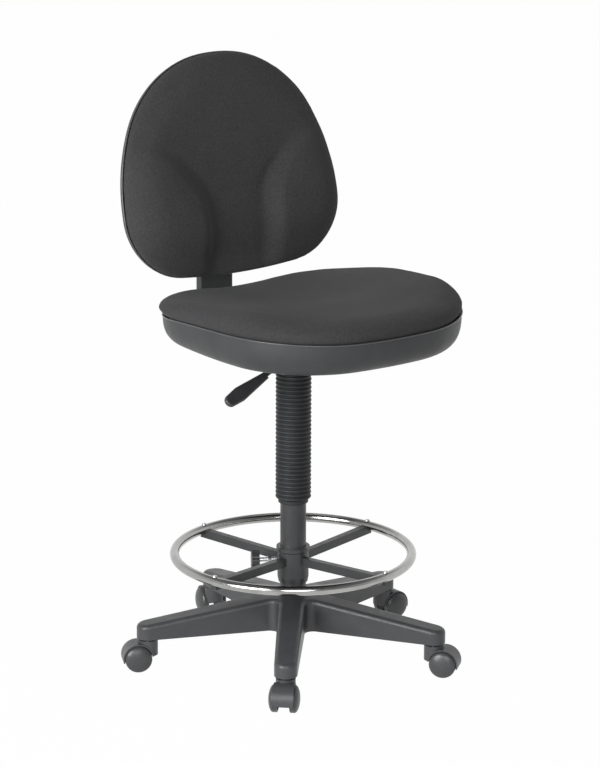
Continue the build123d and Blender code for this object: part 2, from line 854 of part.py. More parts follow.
# Seat mechanism: a pressed steel pan with a bolting flange, a tapered socket and the lever's ears
flange_plane = seat_plane.offset(-seat_mount_depth)
flange_middle = (0, (flange_front + flange_rear) / 2)
flange_length = flange_rear - flange_front
lever_plane = upright(lever_heading)
pan_length = pan_rear - pan_front
pan_middle = (pan_rear + pan_front) / 2
bolt_hole = bolt_radius + bolt_clearance
ear_top = lever_pivot[1] + pivot_eye_radius
rear_wall = Plane(origin=(0, pan_rear + cut_over, bar_centre_z), x_dir=(1, 0, 0), z_dir=(0, -1, 0))
with BuildPart() as seat_mechanism:
    with BuildSketch(Plane.XY.offset(pan_bottom)):
        with Locations((0, pan_middle)):
            RectangleRounded(pan_width, pan_length, pan_corner)
    extrude(amount=pan_blank_height)
    split(bisect_by=flange_plane, keep=Keep.BOTTOM)
    with BuildSketch(flange_plane):
        with Locations(flange_middle):
            RectangleRounded(flange_width, flange_length, pan_corner)
    extrude(amount=-pan_wall)
    with BuildSketch(Plane.XY.offset(pan_bottom + pan_wall)):
        with Locations((0, pan_middle)):
            RectangleRounded(pan_width - 2 * pan_wall, pan_length - 2 * pan_wall, pan_corner - pan_wall)
    extrude(amount=pan_blank_height, mode=Mode.SUBTRACT)
    with BuildSketch(Plane.XY.offset(pan_bottom)):
        Circle(socket_radius)
    extrude(amount=socket_top - pan_bottom)
    with BuildSketch(Plane.XY.offset(pan_bottom)):
        with Locations((0, depth_knob_y)):
            Circle(stud_boss_radius)
    extrude(amount=-stud_boss_height)
    for side in (1, -1):
        with BuildSketch(lever_plane.offset(side * pivot_ear_gap)):
            with Locations((lever_pivot[0], (pan_bottom + ear_top) / 2)):
                Rectangle(2 * pivot_eye_radius, ear_top - pan_bottom)
        extrude(amount=side * pivot_ear_thickness)
    with BuildSketch(lever_plane):
        with Locations(lever_pivot):
            Circle(pivot_pin_radius)
    extrude(amount=pivot_ear_gap + pivot_ear_thickness, both=True, mode=Mode.SUBTRACT)
    with BuildSketch(lever_plane):
        with Locations((pan_width / 2, lever_slot_height)):
            Rectangle(lever_slot_depth, lever_slot_tall)
    extrude(amount=lever_slot_width / 2, both=True, mode=Mode.SUBTRACT)
    revolve(
        turned(
            (0, pan_bottom - cut_over),
            (tube_radius, pan_bottom - cut_over),
            (tube_radius, tube_taper_bottom),
            (tube_top_radius, socket_top),
            (tube_top_radius, socket_top + cut_over),
            (0, socket_top + cut_over),
        ),
        axis=Axis.Z,
        mode=Mode.SUBTRACT,
    )
    with BuildSketch(rear_wall):
        Rectangle(bar_width + 2 * bar_slot_gap, bar_thickness + 2 * bar_slot_gap)
    extrude(amount=2 * pan_wall, mode=Mode.SUBTRACT)
    with BuildSketch(Plane.XY.offset(pan_bottom + pan_wall)):
        with Locations((0, depth_knob_y)):
            Circle(stud_radius + running_clearance)
    extrude(amount=-pan_wall - 2 * stud_boss_height, mode=Mode.SUBTRACT)
    with BuildSketch(flange_plane):
        with Locations(*seat_bolts_at):
            Circle(bolt_hole)
    extrude(amount=-2 * pan_wall, mode=Mode.SUBTRACT)
save(seat_mechanism.part, "seat_mechanism")

# Height lever: a bent rod on a pin between the ears, its inner end over the valve button
paddle_dir = heading(lever_heading) * cos(radians(lever_droop)) - Vector(0, 0, sin(radians(lever_droop)))
paddle_side = lever_plane.z_dir
lever_knee = lever_plane.from_local_coords((*lever_path[2], 0))
rod_end = (
    lever_path[2][0] + lever_rod_run * cos(radians(lever_droop)),
    lever_path[2][1] - lever_rod_run * sin(radians(lever_droop)),
)
with BuildPart() as lever_rod:
    with BuildLine(lever_plane) as rod_path:
        FilletPolyline(*lever_path, rod_end, radius=lever_bend_radius)
    with BuildSketch(Plane(origin=rod_path.line @ 0, z_dir=rod_path.line % 0)):
        Circle(lever_rod_radius)
    sweep(path=rod_path.line)
    with BuildSketch(lever_plane):
        with Locations(lever_pivot):
            Circle(pivot_eye_radius)
    extrude(amount=pivot_ear_gap - loose_clearance, both=True)
    with BuildSketch(lever_plane):
        with Locations(lever_pivot):
            Circle(pivot_pin_radius + running_clearance)
    extrude(amount=pivot_ear_gap, both=True, mode=Mode.SUBTRACT)
save(lever_rod.part, "lever_rod")

with BuildPart() as lever_pin:
    with BuildSketch(lever_plane):
        with Locations(lever_pivot):
            Circle(pivot_pin_radius)
    extrude(amount=pivot_ear_gap + pivot_ear_thickness, both=True)
save(lever_pin.part, "lever_pin")

# Lever paddle: a flat rounded grip pushed onto the rod
paddle_up = paddle_side.cross(paddle_dir)
paddle_face = paddle_up * cos(radians(paddle_roll)) - paddle_side * sin(radians(paddle_roll))
paddle_plane = Plane(origin=lever_knee, x_dir=paddle_dir, z_dir=paddle_face)
paddle_radius = paddle_width / 2
with BuildPart() as lever_paddle:
    with BuildSketch(paddle_plane):
        with Locations((paddle_start + paddle_neck_width / 2, 0)):
            Rectangle(paddle_neck_width, paddle_neck_width)
        with Locations((paddle_end - paddle_radius - paddle_flat, 0)):
            Circle(paddle_radius)
        with Locations((paddle_end - paddle_tip_radius, 0)):
            Circle(paddle_tip_radius)
        make_hull()
    extrude(amount=paddle_thickness / 2, both=True)
    flat_faces = lever_paddle.faces().filter_by(Plane(origin=(0, 0, 0), z_dir=paddle_plane.z_dir))
    fillet(flat_faces.edges(), radius=paddle_round)
    with BuildSketch(Plane(origin=lever_knee, z_dir=paddle_dir)):
        Circle(lever_rod_radius)
    extrude(amount=lever_rod_run, mode=Mode.SUBTRACT)
save(lever_paddle.part, "lever_paddle")

# Seat shell: a moulded tray with an arched rim, a mounting pad below and four bosses under the board
shell_floor = -seat_shell_depth + seat_shell_wall
board_bottom = seat_board_top - seat_board_thickness
outer_form = rounded((0, 0), -seat_shell_depth, seat_shell_turn, loft_steps, shell_fullness)
inner_form = rounded((0, seat_shell_wall), shell_floor, seat_shell_turn, loft_steps, shell_fullness)


# The flange's outline on the mounting plane, grown by a margin
def mount_outline(margin):
    with BuildSketch(flange_plane) as outline:
        with Locations(flange_middle):
            RectangleRounded(flange_width + 2 * margin, flange_length + 2 * margin, pan_corner + margin)
    return outline.sketch


with BuildPart() as seat_shell:
    loft([shell_oval(height, inset) for height, inset in [(seat_shell_lip, 0)] + outer_form])
    loft(
        [shell_oval(height, inset) for height, inset in [(seat_shell_lip, seat_shell_wall)] + inner_form],
        mode=Mode.SUBTRACT,
    )
    extrude(rim_region(0, rim_top), amount=seat_half_width + rim_top, both=True, mode=Mode.SUBTRACT)
    extrude(mount_outline(mount_pad_margin), amount=mount_pad_height, dir=seat_plane.z_dir)
    extrude(mount_outline(mount_pad_gap), amount=-mount_pad_height, dir=seat_plane.z_dir, mode=Mode.SUBTRACT)
    with BuildSketch(flange_plane.offset(cut_over)):
        with Locations(*seat_bolts_at):
            Circle(shell_boss_radius)
    extrude(amount=board_bottom + seat_mount_depth - cut_over)
    with BuildSketch(flange_plane.offset(-cut_over)):
        with Locations(*seat_bolts_at):
            Circle(bolt_hole)
    extrude(amount=seat_mount_depth, mode=Mode.SUBTRACT)
save(seat_shell.part, "seat_shell")

# Seat board: plywood with sunk tee nuts
with BuildPart() as seat_board:
    extrude(seat_oval(board_bottom, seat_board_inset), amount=seat_board_thickness, dir=seat_plane.z_dir)
    with BuildSketch(seat_plane.offset(seat_board_top)):
        with Locations(*seat_bolts_at):
            Circle(nut_radius)
    extrude(amount=-nut_flange, mode=Mode.SUBTRACT)
    with BuildSketch(seat_plane.offset(seat_board_top)):
        with Locations(*seat_bolts_at):
            Circle(nut_barrel_radius)
    extrude(amount=-seat_board_thickness, mode=Mode.SUBTRACT)
save(seat_board.part, "seat_board")

with BuildPart() as tee_nuts:
    with BuildSketch(seat_plane.offset(seat_board_top)):
        with Locations(*seat_bolts_at):
            Circle(nut_radius)
            Circle(bolt_radius, mode=Mode.SUBTRACT)
    extrude(amount=-nut_flange)
    with BuildSketch(seat_plane.offset(seat_board_top - nut_flange)):
        with Locations(*seat_bolts_at):
            Circle(nut_barrel_radius)
            Circle(bolt_radius, mode=Mode.SUBTRACT)
    extrude(amount=-nut_barrel_length)
save(tee_nuts.part, "tee_nuts")

with BuildPart() as seat_bolts:
    with BuildSketch(flange_plane.offset(-pan_wall)):
        with Locations(*seat_bolts_at):
            RegularPolygon(bolt_head_radius, 6)
    extrude(amount=-bolt_head_height)
    with BuildSketch(flange_plane.offset(-pan_wall)):
        with Locations(*seat_bolts_at):
            Circle(bolt_radius)
    extrude(amount=seat_board_top + seat_mount_depth + pan_wall - bolt_short)
save(seat_bolts.part, "seat_bolts")

# Side view of all that lies above the seat's long front roll
cushion_top = seat_cushion_swell[0] + seat_cushion_crown


def roll_point(along):
    return (along, cushion_top - (along - seat_roll_start) ** 2 / (2 * seat_roll_radius))


roll_plane = Plane(origin=seat_plane.origin, x_dir=seat_plane.y_dir, z_dir=seat_plane.x_dir)
roll_end = roll_point(seat_roll_end)
roll_start = roll_point(seat_roll_start)
with BuildSketch(roll_plane) as above_roll:
    with BuildLine():
        ThreePointArc(roll_end, roll_point((seat_roll_end + seat_roll_start) / 2), roll_start)
        Line(roll_start, (seat_roll_start, rim_top))
        Line((seat_roll_start, rim_top), (seat_roll_end, rim_top))
        Line((seat_roll_end, rim_top), roll_end)
    make_face()

# Seat cushion: crowned, swelling over the arched rim, rolled down in front and dished towards the back
crown_form = rounded(seat_cushion_swell, seat_cushion_crown, seat_cushion_turn, loft_steps)
with BuildPart() as seat_cushion:
    loft([seat_oval(height, inset) for height, inset in [seat_cushion_foot] + crown_form])
    extrude(
        rim_region(seat_cushion_gap, -rim_top),
        amount=seat_half_width + rim_top,
        both=True,
        mode=Mode.SUBTRACT,
    )
    extrude(seat_oval(seat_board_top, seat_cushion_inset), amount=-seat_board_top, dir=seat_plane.z_dir)
    extrude(above_roll.sketch, amount=seat_half_width + rim_top, both=True, mode=Mode.SUBTRACT)
    dish_height = cushion_top - seat_dish_depth + seat_dish_radius
    with Locations(seat_plane.from_local_coords((0, seat_dish_offset, dish_height))):
        Sphere(seat_dish_radius, mode=Mode.SUBTRACT)
save(seat_cushion.part, "seat_cushion")

# Back bar: flat steel bent up behind the seat, with a moulded cover on the upright
with BuildPart() as back_bar:
    with BuildLine(Plane.YZ) as bar_path:
        FilletPolyline(
            (bar_front, bar_centre_z),
            (bar_centre_y, bar_centre_z),
            (bar_centre_y, bar_top),
            radius=bar_bend_radius,
        )
    with BuildSketch(Plane(origin=bar_path.line @ 0, x_dir=(1, 0, 0), z_dir=bar_path.line % 0)):
        Rectangle(bar_width, bar_thickness)
    sweep(path=bar_path.line)
save(back_bar.part, "back_bar")

with BuildPart() as bar_cover:
    with BuildSketch(Plane.XY.offset(cover_bottom)):
        with Locations((0, bar_centre_y)):
            RectangleRounded(cover_width, cover_depth, cover_corner)
            Rectangle(bar_width, bar_thickness, mode=Mode.SUBTRACT)
    extrude(amount=cover_top - cover_bottom)
save(bar_cover.part, "bar_cover")

# Depth knob under the pan
depth_plane = Plane(origin=(0, depth_knob_y, depth_knob_top), x_dir=(1, 0, 0), z_dir=(0, 0, -1))
with BuildPart() as depth_stud:
    with BuildSketch(depth_plane.offset(knob_socket)):
        Circle(stud_radius)
    extrude(amount=-(pan_bottom + pan_wall - depth_knob_top + knob_socket))
save(depth_stud.part, "depth_stud")
save(lobed_knob(depth_plane), "depth_knob")

# Back bracket: a sleeve on the upright, webs and a plate against the back shell
shell_rear = -back_shell_depth
plate_rear = shell_rear - bracket_plate
sleeve_gap = sleeve_clearance * 2
sleeve_half_width = bar_width / 2 + sleeve_clearance + sleeve_wall
sleeve_front_y = bar_centre_y - bar_thickness / 2 - sleeve_clearance - sleeve_wall
sleeve_rear_y = bar_centre_y + bar_thickness / 2 + sleeve_clearance + sleeve_wall
web_low = back_plane.from_local_coords((0, bracket_low, plate_rear + cut_over))
web_high = back_plane.from_local_coords((0, bracket_high - bracket_web_drop, plate_rear + cut_over))
knob_plane = Plane(origin=(0, height_knob_start, height_knob_z), x_dir=(1, 0, 0), z_dir=(0, 1, 0))
with BuildPart() as back_bracket:
    with BuildSketch(Plane.XY.offset(sleeve_bottom)):
        with Locations((0, bar_centre_y)):
            Rectangle(2 * sleeve_half_width, sleeve_rear_y - sleeve_front_y)
            Rectangle(bar_width + sleeve_gap, bar_thickness + sleeve_gap, mode=Mode.SUBTRACT)
    extrude(amount=sleeve_top - sleeve_bottom)
    with BuildSketch(back_plane.offset(shell_rear)):
        with Locations((0, (bracket_low + bracket_high) / 2)):
            RectangleRounded(bracket_width, bracket_high - bracket_low, bracket_corner)
    extrude(amount=-bracket_plate)
    for side in (1, -1):
        with BuildSketch(Plane.YZ.offset(side * sleeve_half_width)):
            with BuildLine():
                Polyline(
                    (web_low.Y, web_low.Z),
                    (web_high.Y, web_high.Z),
                    (sleeve_front_y + cut_over, sleeve_top),
                    (sleeve_front_y + cut_over, sleeve_bottom),
                    close=True,
                )
            make_face()
        extrude(amount=-side * bracket_web)
    with BuildSketch(knob_plane.offset(sleeve_rear_y - height_knob_start)):
        Circle(stud_boss_radius)
    extrude(amount=stud_boss_height)
    with BuildSketch(knob_plane):
        Circle(stud_radius + running_clearance)
    extrude(amount=bar_centre_y - height_knob_start, mode=Mode.SUBTRACT)
    with BuildSketch(back_plane.offset(shell_rear)):
        with Locations(*back_screws_at):
            Circle(back_screw_radius)
    extrude(amount=-2 * bracket_plate, mode=Mode.SUBTRACT)
save(back_bracket.part, "back_bracket")

bar_rear_y = bar_centre_y + bar_thickness / 2
with BuildPart() as height_stud:
    with BuildSketch(knob_plane.offset(knob_socket)):
        Circle(stud_radius)
    extrude(amount=-(height_knob_start + knob_socket - bar_rear_y - loose_clearance))
save(height_stud.part, "height_stud")
save(lobed_knob(knob_plane), "height_knob")

# Back shell: a shallow moulded tray behind the back board
back_floor = shell_rear + back_shell_wall
back_board_rear = back_board_front - back_board_thickness
outer_back = rounded((0, 0), shell_rear, back_shell_turn, loft_steps, shell_fullness)
inner_back = rounded((0, back_shell_wall), back_floor, back_shell_turn, loft_steps, shell_fullness)
with BuildPart() as back_shell:
    loft([back_oval(depth, inset) for depth, inset in outer_back])
    loft([back_oval(depth, inset) for depth, inset in inner_back], mode=Mode.SUBTRACT)
    with BuildSketch(back_plane.offset(back_floor - cut_over)):
        with Locations(*back_screws_at):
            Circle(back_boss_radius)
    extrude(amount=back_board_rear - back_floor + cut_over)
    with BuildSketch(back_plane.offset(shell_rear - cut_over)):
        with Locations(*back_screws_at):
            Circle(back_screw_radius)
    extrude(amount=-shell_rear, mode=Mode.SUBTRACT)
save(back_shell.part, "back_shell")

with BuildPart() as back_board:
    extrude(back_oval(back_board_rear, back_board_inset), amount=back_board_thickness, dir=back_plane.z_dir)
    with BuildSketch(back_plane.offset(back_board_rear)):
        with Locations(*back_screws_at):
            Circle(back_screw_radius)
    extrude(amount=back_board_thickness - back_screw_short + cut_over, mode=Mode.SUBTRACT)
save(back_board.part, "back_board")

with BuildPart() as back_screws:
    with BuildSketch(back_plane.offset(plate_rear)):
        with Locations(*back_screws_at):
            Circle(back_screw_head_radius)
    extrude(amount=-back_screw_head_height)
    with BuildSketch(back_plane.offset(plate_rear)):
        with Locations(*back_screws_at):
            Circle(back_screw_radius)
    extrude(amount=back_board_front - back_screw_short - plate_rear)
save(back_screws.part, "back_screws")


# A side bolster's outline: two circles and their common tangents
def bolster_face(depth, inset, side):
    with BuildSketch(back_plane.offset(depth)) as outline:
        with Locations((side * bolster_low_at[0], bolster_low_at[1])):
            Circle(bolster_low_radius - inset)
        with Locations((side * bolster_high_at[0], bolster_high_at[1])):
            Circle(bolster_high_radius - inset)
        make_hull()
    return outline.sketch


# Back cushion: crowned, with a raised bolster on each side of the spine panel
crown_form = rounded(back_cushion_swell, back_cushion_crown, back_cushion_turn, loft_steps)
bolster_form = rounded(bolster_foot, bolster_crown, bolster_turn, bolster_steps)
with BuildPart() as back_cushion:
    loft([back_oval(depth, inset) for depth, inset in [back_cushion_foot] + crown_form])
    extrude(
        back_oval(back_board_front, back_cushion_inset),
        amount=back_cushion_swell[0] - back_board_front,
        dir=back_plane.z_dir,
    )
    for side in (1, -1):
        loft([bolster_face(depth, inset, side) for depth, inset in bolster_form])
save(back_cushion.part, "back_cushion")
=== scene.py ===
# Drafting chair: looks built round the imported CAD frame. Metres, +Z up, the sitter faces -Y.
import math

import bmesh
import bpy
import numpy as np
from mathutils import Matrix, Vector


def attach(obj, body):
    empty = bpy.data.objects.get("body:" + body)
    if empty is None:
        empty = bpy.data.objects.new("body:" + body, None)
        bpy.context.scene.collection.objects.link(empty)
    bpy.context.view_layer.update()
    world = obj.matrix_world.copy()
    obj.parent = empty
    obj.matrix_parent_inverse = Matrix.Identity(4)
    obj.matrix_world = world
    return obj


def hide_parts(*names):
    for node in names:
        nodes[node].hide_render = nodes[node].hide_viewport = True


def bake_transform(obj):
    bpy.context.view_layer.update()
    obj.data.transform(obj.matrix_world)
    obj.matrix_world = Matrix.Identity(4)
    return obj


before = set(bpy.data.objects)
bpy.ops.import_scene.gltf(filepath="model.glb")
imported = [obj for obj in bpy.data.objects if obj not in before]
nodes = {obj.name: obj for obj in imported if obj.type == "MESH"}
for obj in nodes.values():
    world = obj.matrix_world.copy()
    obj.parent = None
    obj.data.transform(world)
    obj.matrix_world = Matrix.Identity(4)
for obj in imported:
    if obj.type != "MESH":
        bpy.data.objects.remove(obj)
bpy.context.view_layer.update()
scene = bpy.context.scene
scene.view_settings.view_transform = "Standard"
print("frame loaded,", len(nodes), "nodes")

# Finishes

# The part of a noise's range that most of its values lie in
noiseLow, noiseHigh = 0.3, 0.7


def newFinish(name):
    finish = bpy.data.materials.new(name)
    finish.use_nodes = True
    tree = finish.node_tree
    tree.nodes.clear()
    output = tree.nodes.new("ShaderNodeOutputMaterial")
    shader = tree.nodes.new("ShaderNodeBsdfPrincipled")
    tree.links.new(shader.outputs["BSDF"], output.inputs["Surface"])
    return finish, tree, shader


def objectCoords(tree, stretch=(1, 1, 1)):
    coords = tree.nodes.new("ShaderNodeTexCoord")
    mapping = tree.nodes.new("ShaderNodeMapping")
    mapping.inputs["Scale"].default_value = stretch
    tree.links.new(coords.outputs["Object"], mapping.inputs["Vector"])
    return mapping.outputs["Vector"]


def noiseOf(tree, coords, scale, detail=3.0, rough=0.55):
    node = tree.nodes.new("ShaderNodeTexNoise")
    node.inputs["Scale"].default_value = scale
    node.inputs["Detail"].default_value = detail
    node.inputs["Roughness"].default_value = rough
    tree.links.new(coords, node.inputs["Vector"])
    return node.outputs["Fac"]


def rampOf(tree, value, stops):
    node = tree.nodes.new("ShaderNodeValToRGB")
    while len(node.color_ramp.elements) < len(stops):
        node.color_ramp.elements.new(1.0)
    for element, (place, tone) in zip(node.color_ramp.elements, stops):
        element.position = place
        element.color = (*tone, 1)
    tree.links.new(value, node.inputs["Fac"])
    return node.outputs["Color"]


def spread(tree, value, low, high, fromLow=noiseLow, fromHigh=noiseHigh):
    node = tree.nodes.new("ShaderNodeMapRange")
    node.inputs["From Min"].default_value = fromLow
    node.inputs["From Max"].default_value = fromHigh
    node.inputs["To Min"].default_value = low
    node.inputs["To Max"].default_value = high
    tree.links.new(value, node.inputs["Value"])
    return node.outputs["Result"]


def mathOf(tree, operation, first, second=None, third=None):
    node = tree.nodes.new("ShaderNodeMath")
    node.operation = operation
    for socket, value in zip(node.inputs, (first, second, third)):
        if value is None:
            continue
        if isinstance(value, (int, float)):
            socket.default_value = value
        else:
            tree.links.new(value, socket)
    return node.outputs["Value"]


def bumpOf(tree, shader, height, distance, strength=1.0, under=None):
    node = tree.nodes.new("ShaderNodeBump")
    node.inputs["Strength"].default_value = strength
    node.inputs["Distance"].default_value = distance
    tree.links.new(height, node.inputs["Height"])
    if under is not None:
        tree.links.new(under, node.inputs["Normal"])
    tree.links.new(node.outputs["Normal"], shader.inputs["Normal"])
    return node.outputs["Normal"]


# A tone that follows one noise and a gloss that follows another
def toneAndGloss(tree, shader, cloud, dark, light, gloss, roughLow, roughHigh):
    tone = rampOf(tree, cloud, ((noiseLow, dark), (noiseHigh, light)))
    tree.links.new(tone, shader.inputs["Base Color"])
    tree.links.new(spread(tree, gloss, roughLow, roughHigh), shader.inputs["Roughness"])


plasticLook = {"cloudScale": 14.0, "glossScale": 38.0, "glossDetail": 4.0, "grainDetail": 2.0}


# Moulded plastic: clouded tone, fine spark-eroded grain, gloss that drifts a little
def mouldedFinish(name, dark, light, roughLow, roughHigh, grainScale=900.0, grainDepth=0.00006, specular=0.5):
    finish, tree, shader = newFinish(name)
    coords = objectCoords(tree)
    cloud = noiseOf(tree, coords, plasticLook["cloudScale"])
    gloss = noiseOf(tree, coords, plasticLook["glossScale"], plasticLook["glossDetail"])
    toneAndGloss(tree, shader, cloud, dark, light, gloss, roughLow, roughHigh)
    bumpOf(tree, shader, noiseOf(tree, coords, grainScale, plasticLook["grainDetail"]), grainDepth)
    shader.inputs["Specular IOR Level"].default_value = specular
    return finish


coatLook = {
    "cloudScale": 22.0,
    "glossScale": 60.0,
    "roughLow": 0.3,
    "roughHigh": 0.42,
    "peelScale": 420.0,
    "peelDetail": 1.0,
    "peelDepth": 0.00008,
}


# Powder coat on steel: darker, with a soft orange-peel ripple
def coatedFinish(name, dark, light):
    finish, tree, shader = newFinish(name)
    coords = objectCoords(tree)
    cloud = noiseOf(tree, coords, coatLook["cloudScale"])
    gloss = noiseOf(tree, coords, coatLook["glossScale"])
    toneAndGloss(tree, shader, cloud, dark, light, gloss, coatLook["roughLow"], coatLook["roughHigh"])
    peel = noiseOf(tree, coords, coatLook["peelScale"], coatLook["peelDetail"])
    bumpOf(tree, shader, peel, coatLook["peelDepth"])
    return finish


# Bare or plated metal: tone and gloss follow the same faint clouding
def metalFinish(name, dark, light, roughLow, roughHigh, scale=60.0, detail=5.0):
    finish, tree, shader = newFinish(name)
    cloud = noiseOf(tree, objectCoords(tree), scale, detail)
    toneAndGloss(tree, shader, cloud, dark, light, cloud, roughLow, roughHigh)
    shader.inputs["Metallic"].default_value = 1.0
    return finish


plyLook = {
    "grainStretch": (9, 1, 1),
    "grainScale": 28.0,
    "grainDetail": 6.0,
    "grainDepth": 0.0002,
    "plyStretch": (0.02, 0.02, 1),
    "plyScale": 620.0,
    "plyDetail": 0.0,
    "plyShare": 0.35,
    "tones": ((0.45, (0.32, 0.2, 0.1)), (0.62, (0.52, 0.37, 0.21)), (0.85, (0.62, 0.46, 0.28))),
    "roughness": 0.65,
}


# Plywood: long grain on the faces, thin plies along the edge
def plywoodFinish(name):
    finish, tree, shader = newFinish(name)
    alongGrain = objectCoords(tree, plyLook["grainStretch"])
    acrossPlies = objectCoords(tree, plyLook["plyStretch"])
    grain = noiseOf(tree, alongGrain, plyLook["grainScale"], plyLook["grainDetail"])
    plies = noiseOf(tree, acrossPlies, plyLook["plyScale"], plyLook["plyDetail"])
    both = mathOf(tree, "MULTIPLY_ADD", plies, plyLook["plyShare"], grain)
    tree.links.new(rampOf(tree, both, plyLook["tones"]), shader.inputs["Base Color"])
    shader.inputs["Roughness"].default_value = plyLook["roughness"]
    bumpOf(tree, shader, grain, plyLook["grainDepth"])
    return finish


weaveLook = {
    "pitch": 0.0022,
    "weaveShare": 0.1,
    "weaveDepth": 0.0002,
    "weaveStrength": 0.6,
    "slubScale": 260.0,
    "slubDepth": 0.0003,
    "slubStrength": 0.5,
    "wearScale": 7.0,
    "wearShare": 0.35,
    "darkAt": 0.4,
    "lightAt": 0.95,
    "roughness": 0.92,
    "specular": 0.25,
    "sheen": 0.06,
    "sheenRoughness": 0.5,
    "sheenTint": (0.8, 0.8, 0.82, 1),
}


# Woven upholstery: yarn over and under yarn on the cloth's own map, slubs, and a trace of sheen
def wovenFinish(name, dark, light):
    finish, tree, shader = newFinish(name)
    cloth = tree.nodes.new("ShaderNodeAttribute")
    cloth.attribute_name = "clothMap"
    parts = tree.nodes.new("ShaderNodeSeparateXYZ")
    tree.links.new(cloth.outputs["Vector"], parts.inputs["Vector"])
    turns = 2 * math.pi / weaveLook["pitch"]
    warp, weft = [mathOf(tree, "SINE", mathOf(tree, "MULTIPLY", parts.outputs[axis], turns)) for axis in "XY"]
    weave = mathOf(tree, "MULTIPLY", warp, weft)
    coords = objectCoords(tree)
    slub = noiseOf(tree, coords, weaveLook["slubScale"])
    wear = noiseOf(tree, coords, weaveLook["wearScale"])
    yarn = mathOf(tree, "MULTIPLY_ADD", weave, weaveLook["weaveShare"], slub)
    mixed = mathOf(tree, "MULTIPLY_ADD", wear, weaveLook["wearShare"], yarn)
    tone = rampOf(tree, mixed, ((weaveLook["darkAt"], dark), (weaveLook["lightAt"], light)))
    tree.links.new(tone, shader.inputs["Base Color"])
    shader.inputs["Roughness"].default_value = weaveLook["roughness"]
    shader.inputs["Specular IOR Level"].default_value = weaveLook["specular"]
    shader.inputs["Sheen Weight"].default_value = weaveLook["sheen"]
    shader.inputs["Sheen Roughness"].default_value = weaveLook["sheenRoughness"]
    shader.inputs["Sheen Tint"].default_value = weaveLook["sheenTint"]
    fine = bumpOf(tree, shader, weave, weaveLook["weaveDepth"], weaveLook["weaveStrength"])
    bumpOf(tree, shader, slub, weaveLook["slubDepth"], weaveLook["slubStrength"], fine)
    return finish


baseNylon = mouldedFinish("base nylon", (0.031, 0.032, 0.034), (0.042, 0.043, 0.045), 0.34, 0.46)
hoodNylon = mouldedFinish("hood nylon", (0.036, 0.037, 0.039), (0.047, 0.048, 0.051), 0.32, 0.44)
wheelNylon = mouldedFinish("wheel nylon", (0.032, 0.033, 0.034), (0.044, 0.045, 0.047), 0.3, 0.45)
shellGrain = dict(grainScale=620.0, grainDepth=0.00012, specular=0.36)
shellTones = ((0.025, 0.026, 0.027), (0.033, 0.034, 0.035))
shellPlastic = mouldedFinish("shell plastic", *shellTones, 0.4, 0.5, **shellGrain)
knobPlastic = mouldedFinish("knob plastic", (0.022, 0.022, 0.024), (0.034, 0.034, 0.036), 0.32, 0.44)
bushNylon = mouldedFinish("bush nylon", (0.1, 0.1, 0.1), (0.15, 0.15, 0.15), 0.4, 0.5)
bootGrain = dict(grainScale=700.0, grainDepth=0.00005, specular=0.36)
bootTones = ((0.01, 0.011, 0.012), (0.015, 0.016, 0.017))
bootRubber = mouldedFinish("boot rubber", *bootTones, 0.46, 0.58, **bootGrain)
blackSteel = coatedFinish("black steel", (0.018, 0.019, 0.02), (0.027, 0.028, 0.029))
zincSteel = metalFinish("zinc steel", (0.48, 0.48, 0.5), (0.66, 0.66, 0.67), 0.22, 0.4)
chromePlate = metalFinish("chrome plate", (0.34, 0.337, 0.33), (0.44, 0.437, 0.428), 0.12, 0.2, scale=30.0)
# Edge bead: a black plastic trim whose tone is lifted above the shell's as a painted highlight, standing in
# for the bright rim line
beadPlasticPaintedHighlight = mouldedFinish("bead plastic, painted highlight", (0.05, 0.05, 0.052), (0.062, 0.062, 0.064), 0.26, 0.34)
plywood = plywoodFinish("plywood")
blackFabric = wovenFinish("black fabric", (0.0225, 0.0222, 0.0232), (0.039, 0.0385, 0.0396))


def dress(finish, *names):
    for name in names:
        piece = nodes[name]
        if not piece.material_slots:
            piece.data.materials.append(finish)
        for holder in piece.material_slots:
            holder.material = finish


casterNumbers = range(1, 6)
dress(baseNylon, "base_star")
dress(hoodNylon, *[f"caster_hood_{n}" for n in casterNumbers])
dress(wheelNylon, *[f"caster_wheel_{n}_{side}" for n in casterNumbers for side in "ab"])
dress(zincSteel, *[f"caster_axle_{n}" for n in casterNumbers])
dress(zincSteel, "caster_stems", "thrust_bearing", "piston_rod", "rod_clip", "piston")
dress(zincSteel, "tee_nuts", "seat_bolts", "lever_pin", "back_screws")
dress(zincSteel, "depth_stud", "height_stud", "clamp_stud")
dress(chromePlate, "ring_screws", "foot_ring")
dress(blackSteel, "column_tube", "pressure_tube", "seat_mechanism", "ring_hub")
dress(blackSteel, "back_bar", "back_bracket", "lever_rod")
dress(bushNylon, "column_bush", "ring_bush", "tube_gland", "valve_button")
dress(bootRubber, "boot")
dress(shellPlastic, "seat_shell", "back_shell", "bar_cover")
dress(knobPlastic, "lever_paddle", "depth_knob", "height_knob", "clamp_knob")
dress(plywood, "seat_board", "back_board")
dress(blackFabric, "seat_cushion", "back_cushion")
print("finishes on every CAD node")

# Mesh helpers

tiny = 1e-9


def newPiece(name, points, faces, finish, smooth=True):
    mesh = bpy.data.meshes.new(name)
    mesh.from_pydata([tuple(p) for p in points], [], faces)
    mesh.validate()
    mesh.materials.append(finish)
    mesh.polygons.foreach_set("use_smooth", [smooth] * len(mesh.polygons))
    mesh.update()
    piece = bpy.data.objects.new(name, mesh)
    scene.collection.objects.link(piece)
    return piece


# Bakes the modifiers of a piece into its mesh
def settle(piece):
    bpy.context.view_layer.update()
    graph = bpy.context.evaluated_depsgraph_get()
    mesh = bpy.data.meshes.new_from_object(piece.evaluated_get(graph), depsgraph=graph)
    old = piece.data
    piece.modifiers.clear()
    piece.data = mesh
    mesh.name = old.name
    bpy.data.meshes.remove(old)


def readPoints(mesh):
    flat = np.empty(len(mesh.vertices) * 3)
    mesh.vertices.foreach_get("co", flat)
    return flat.reshape(-1, 3)


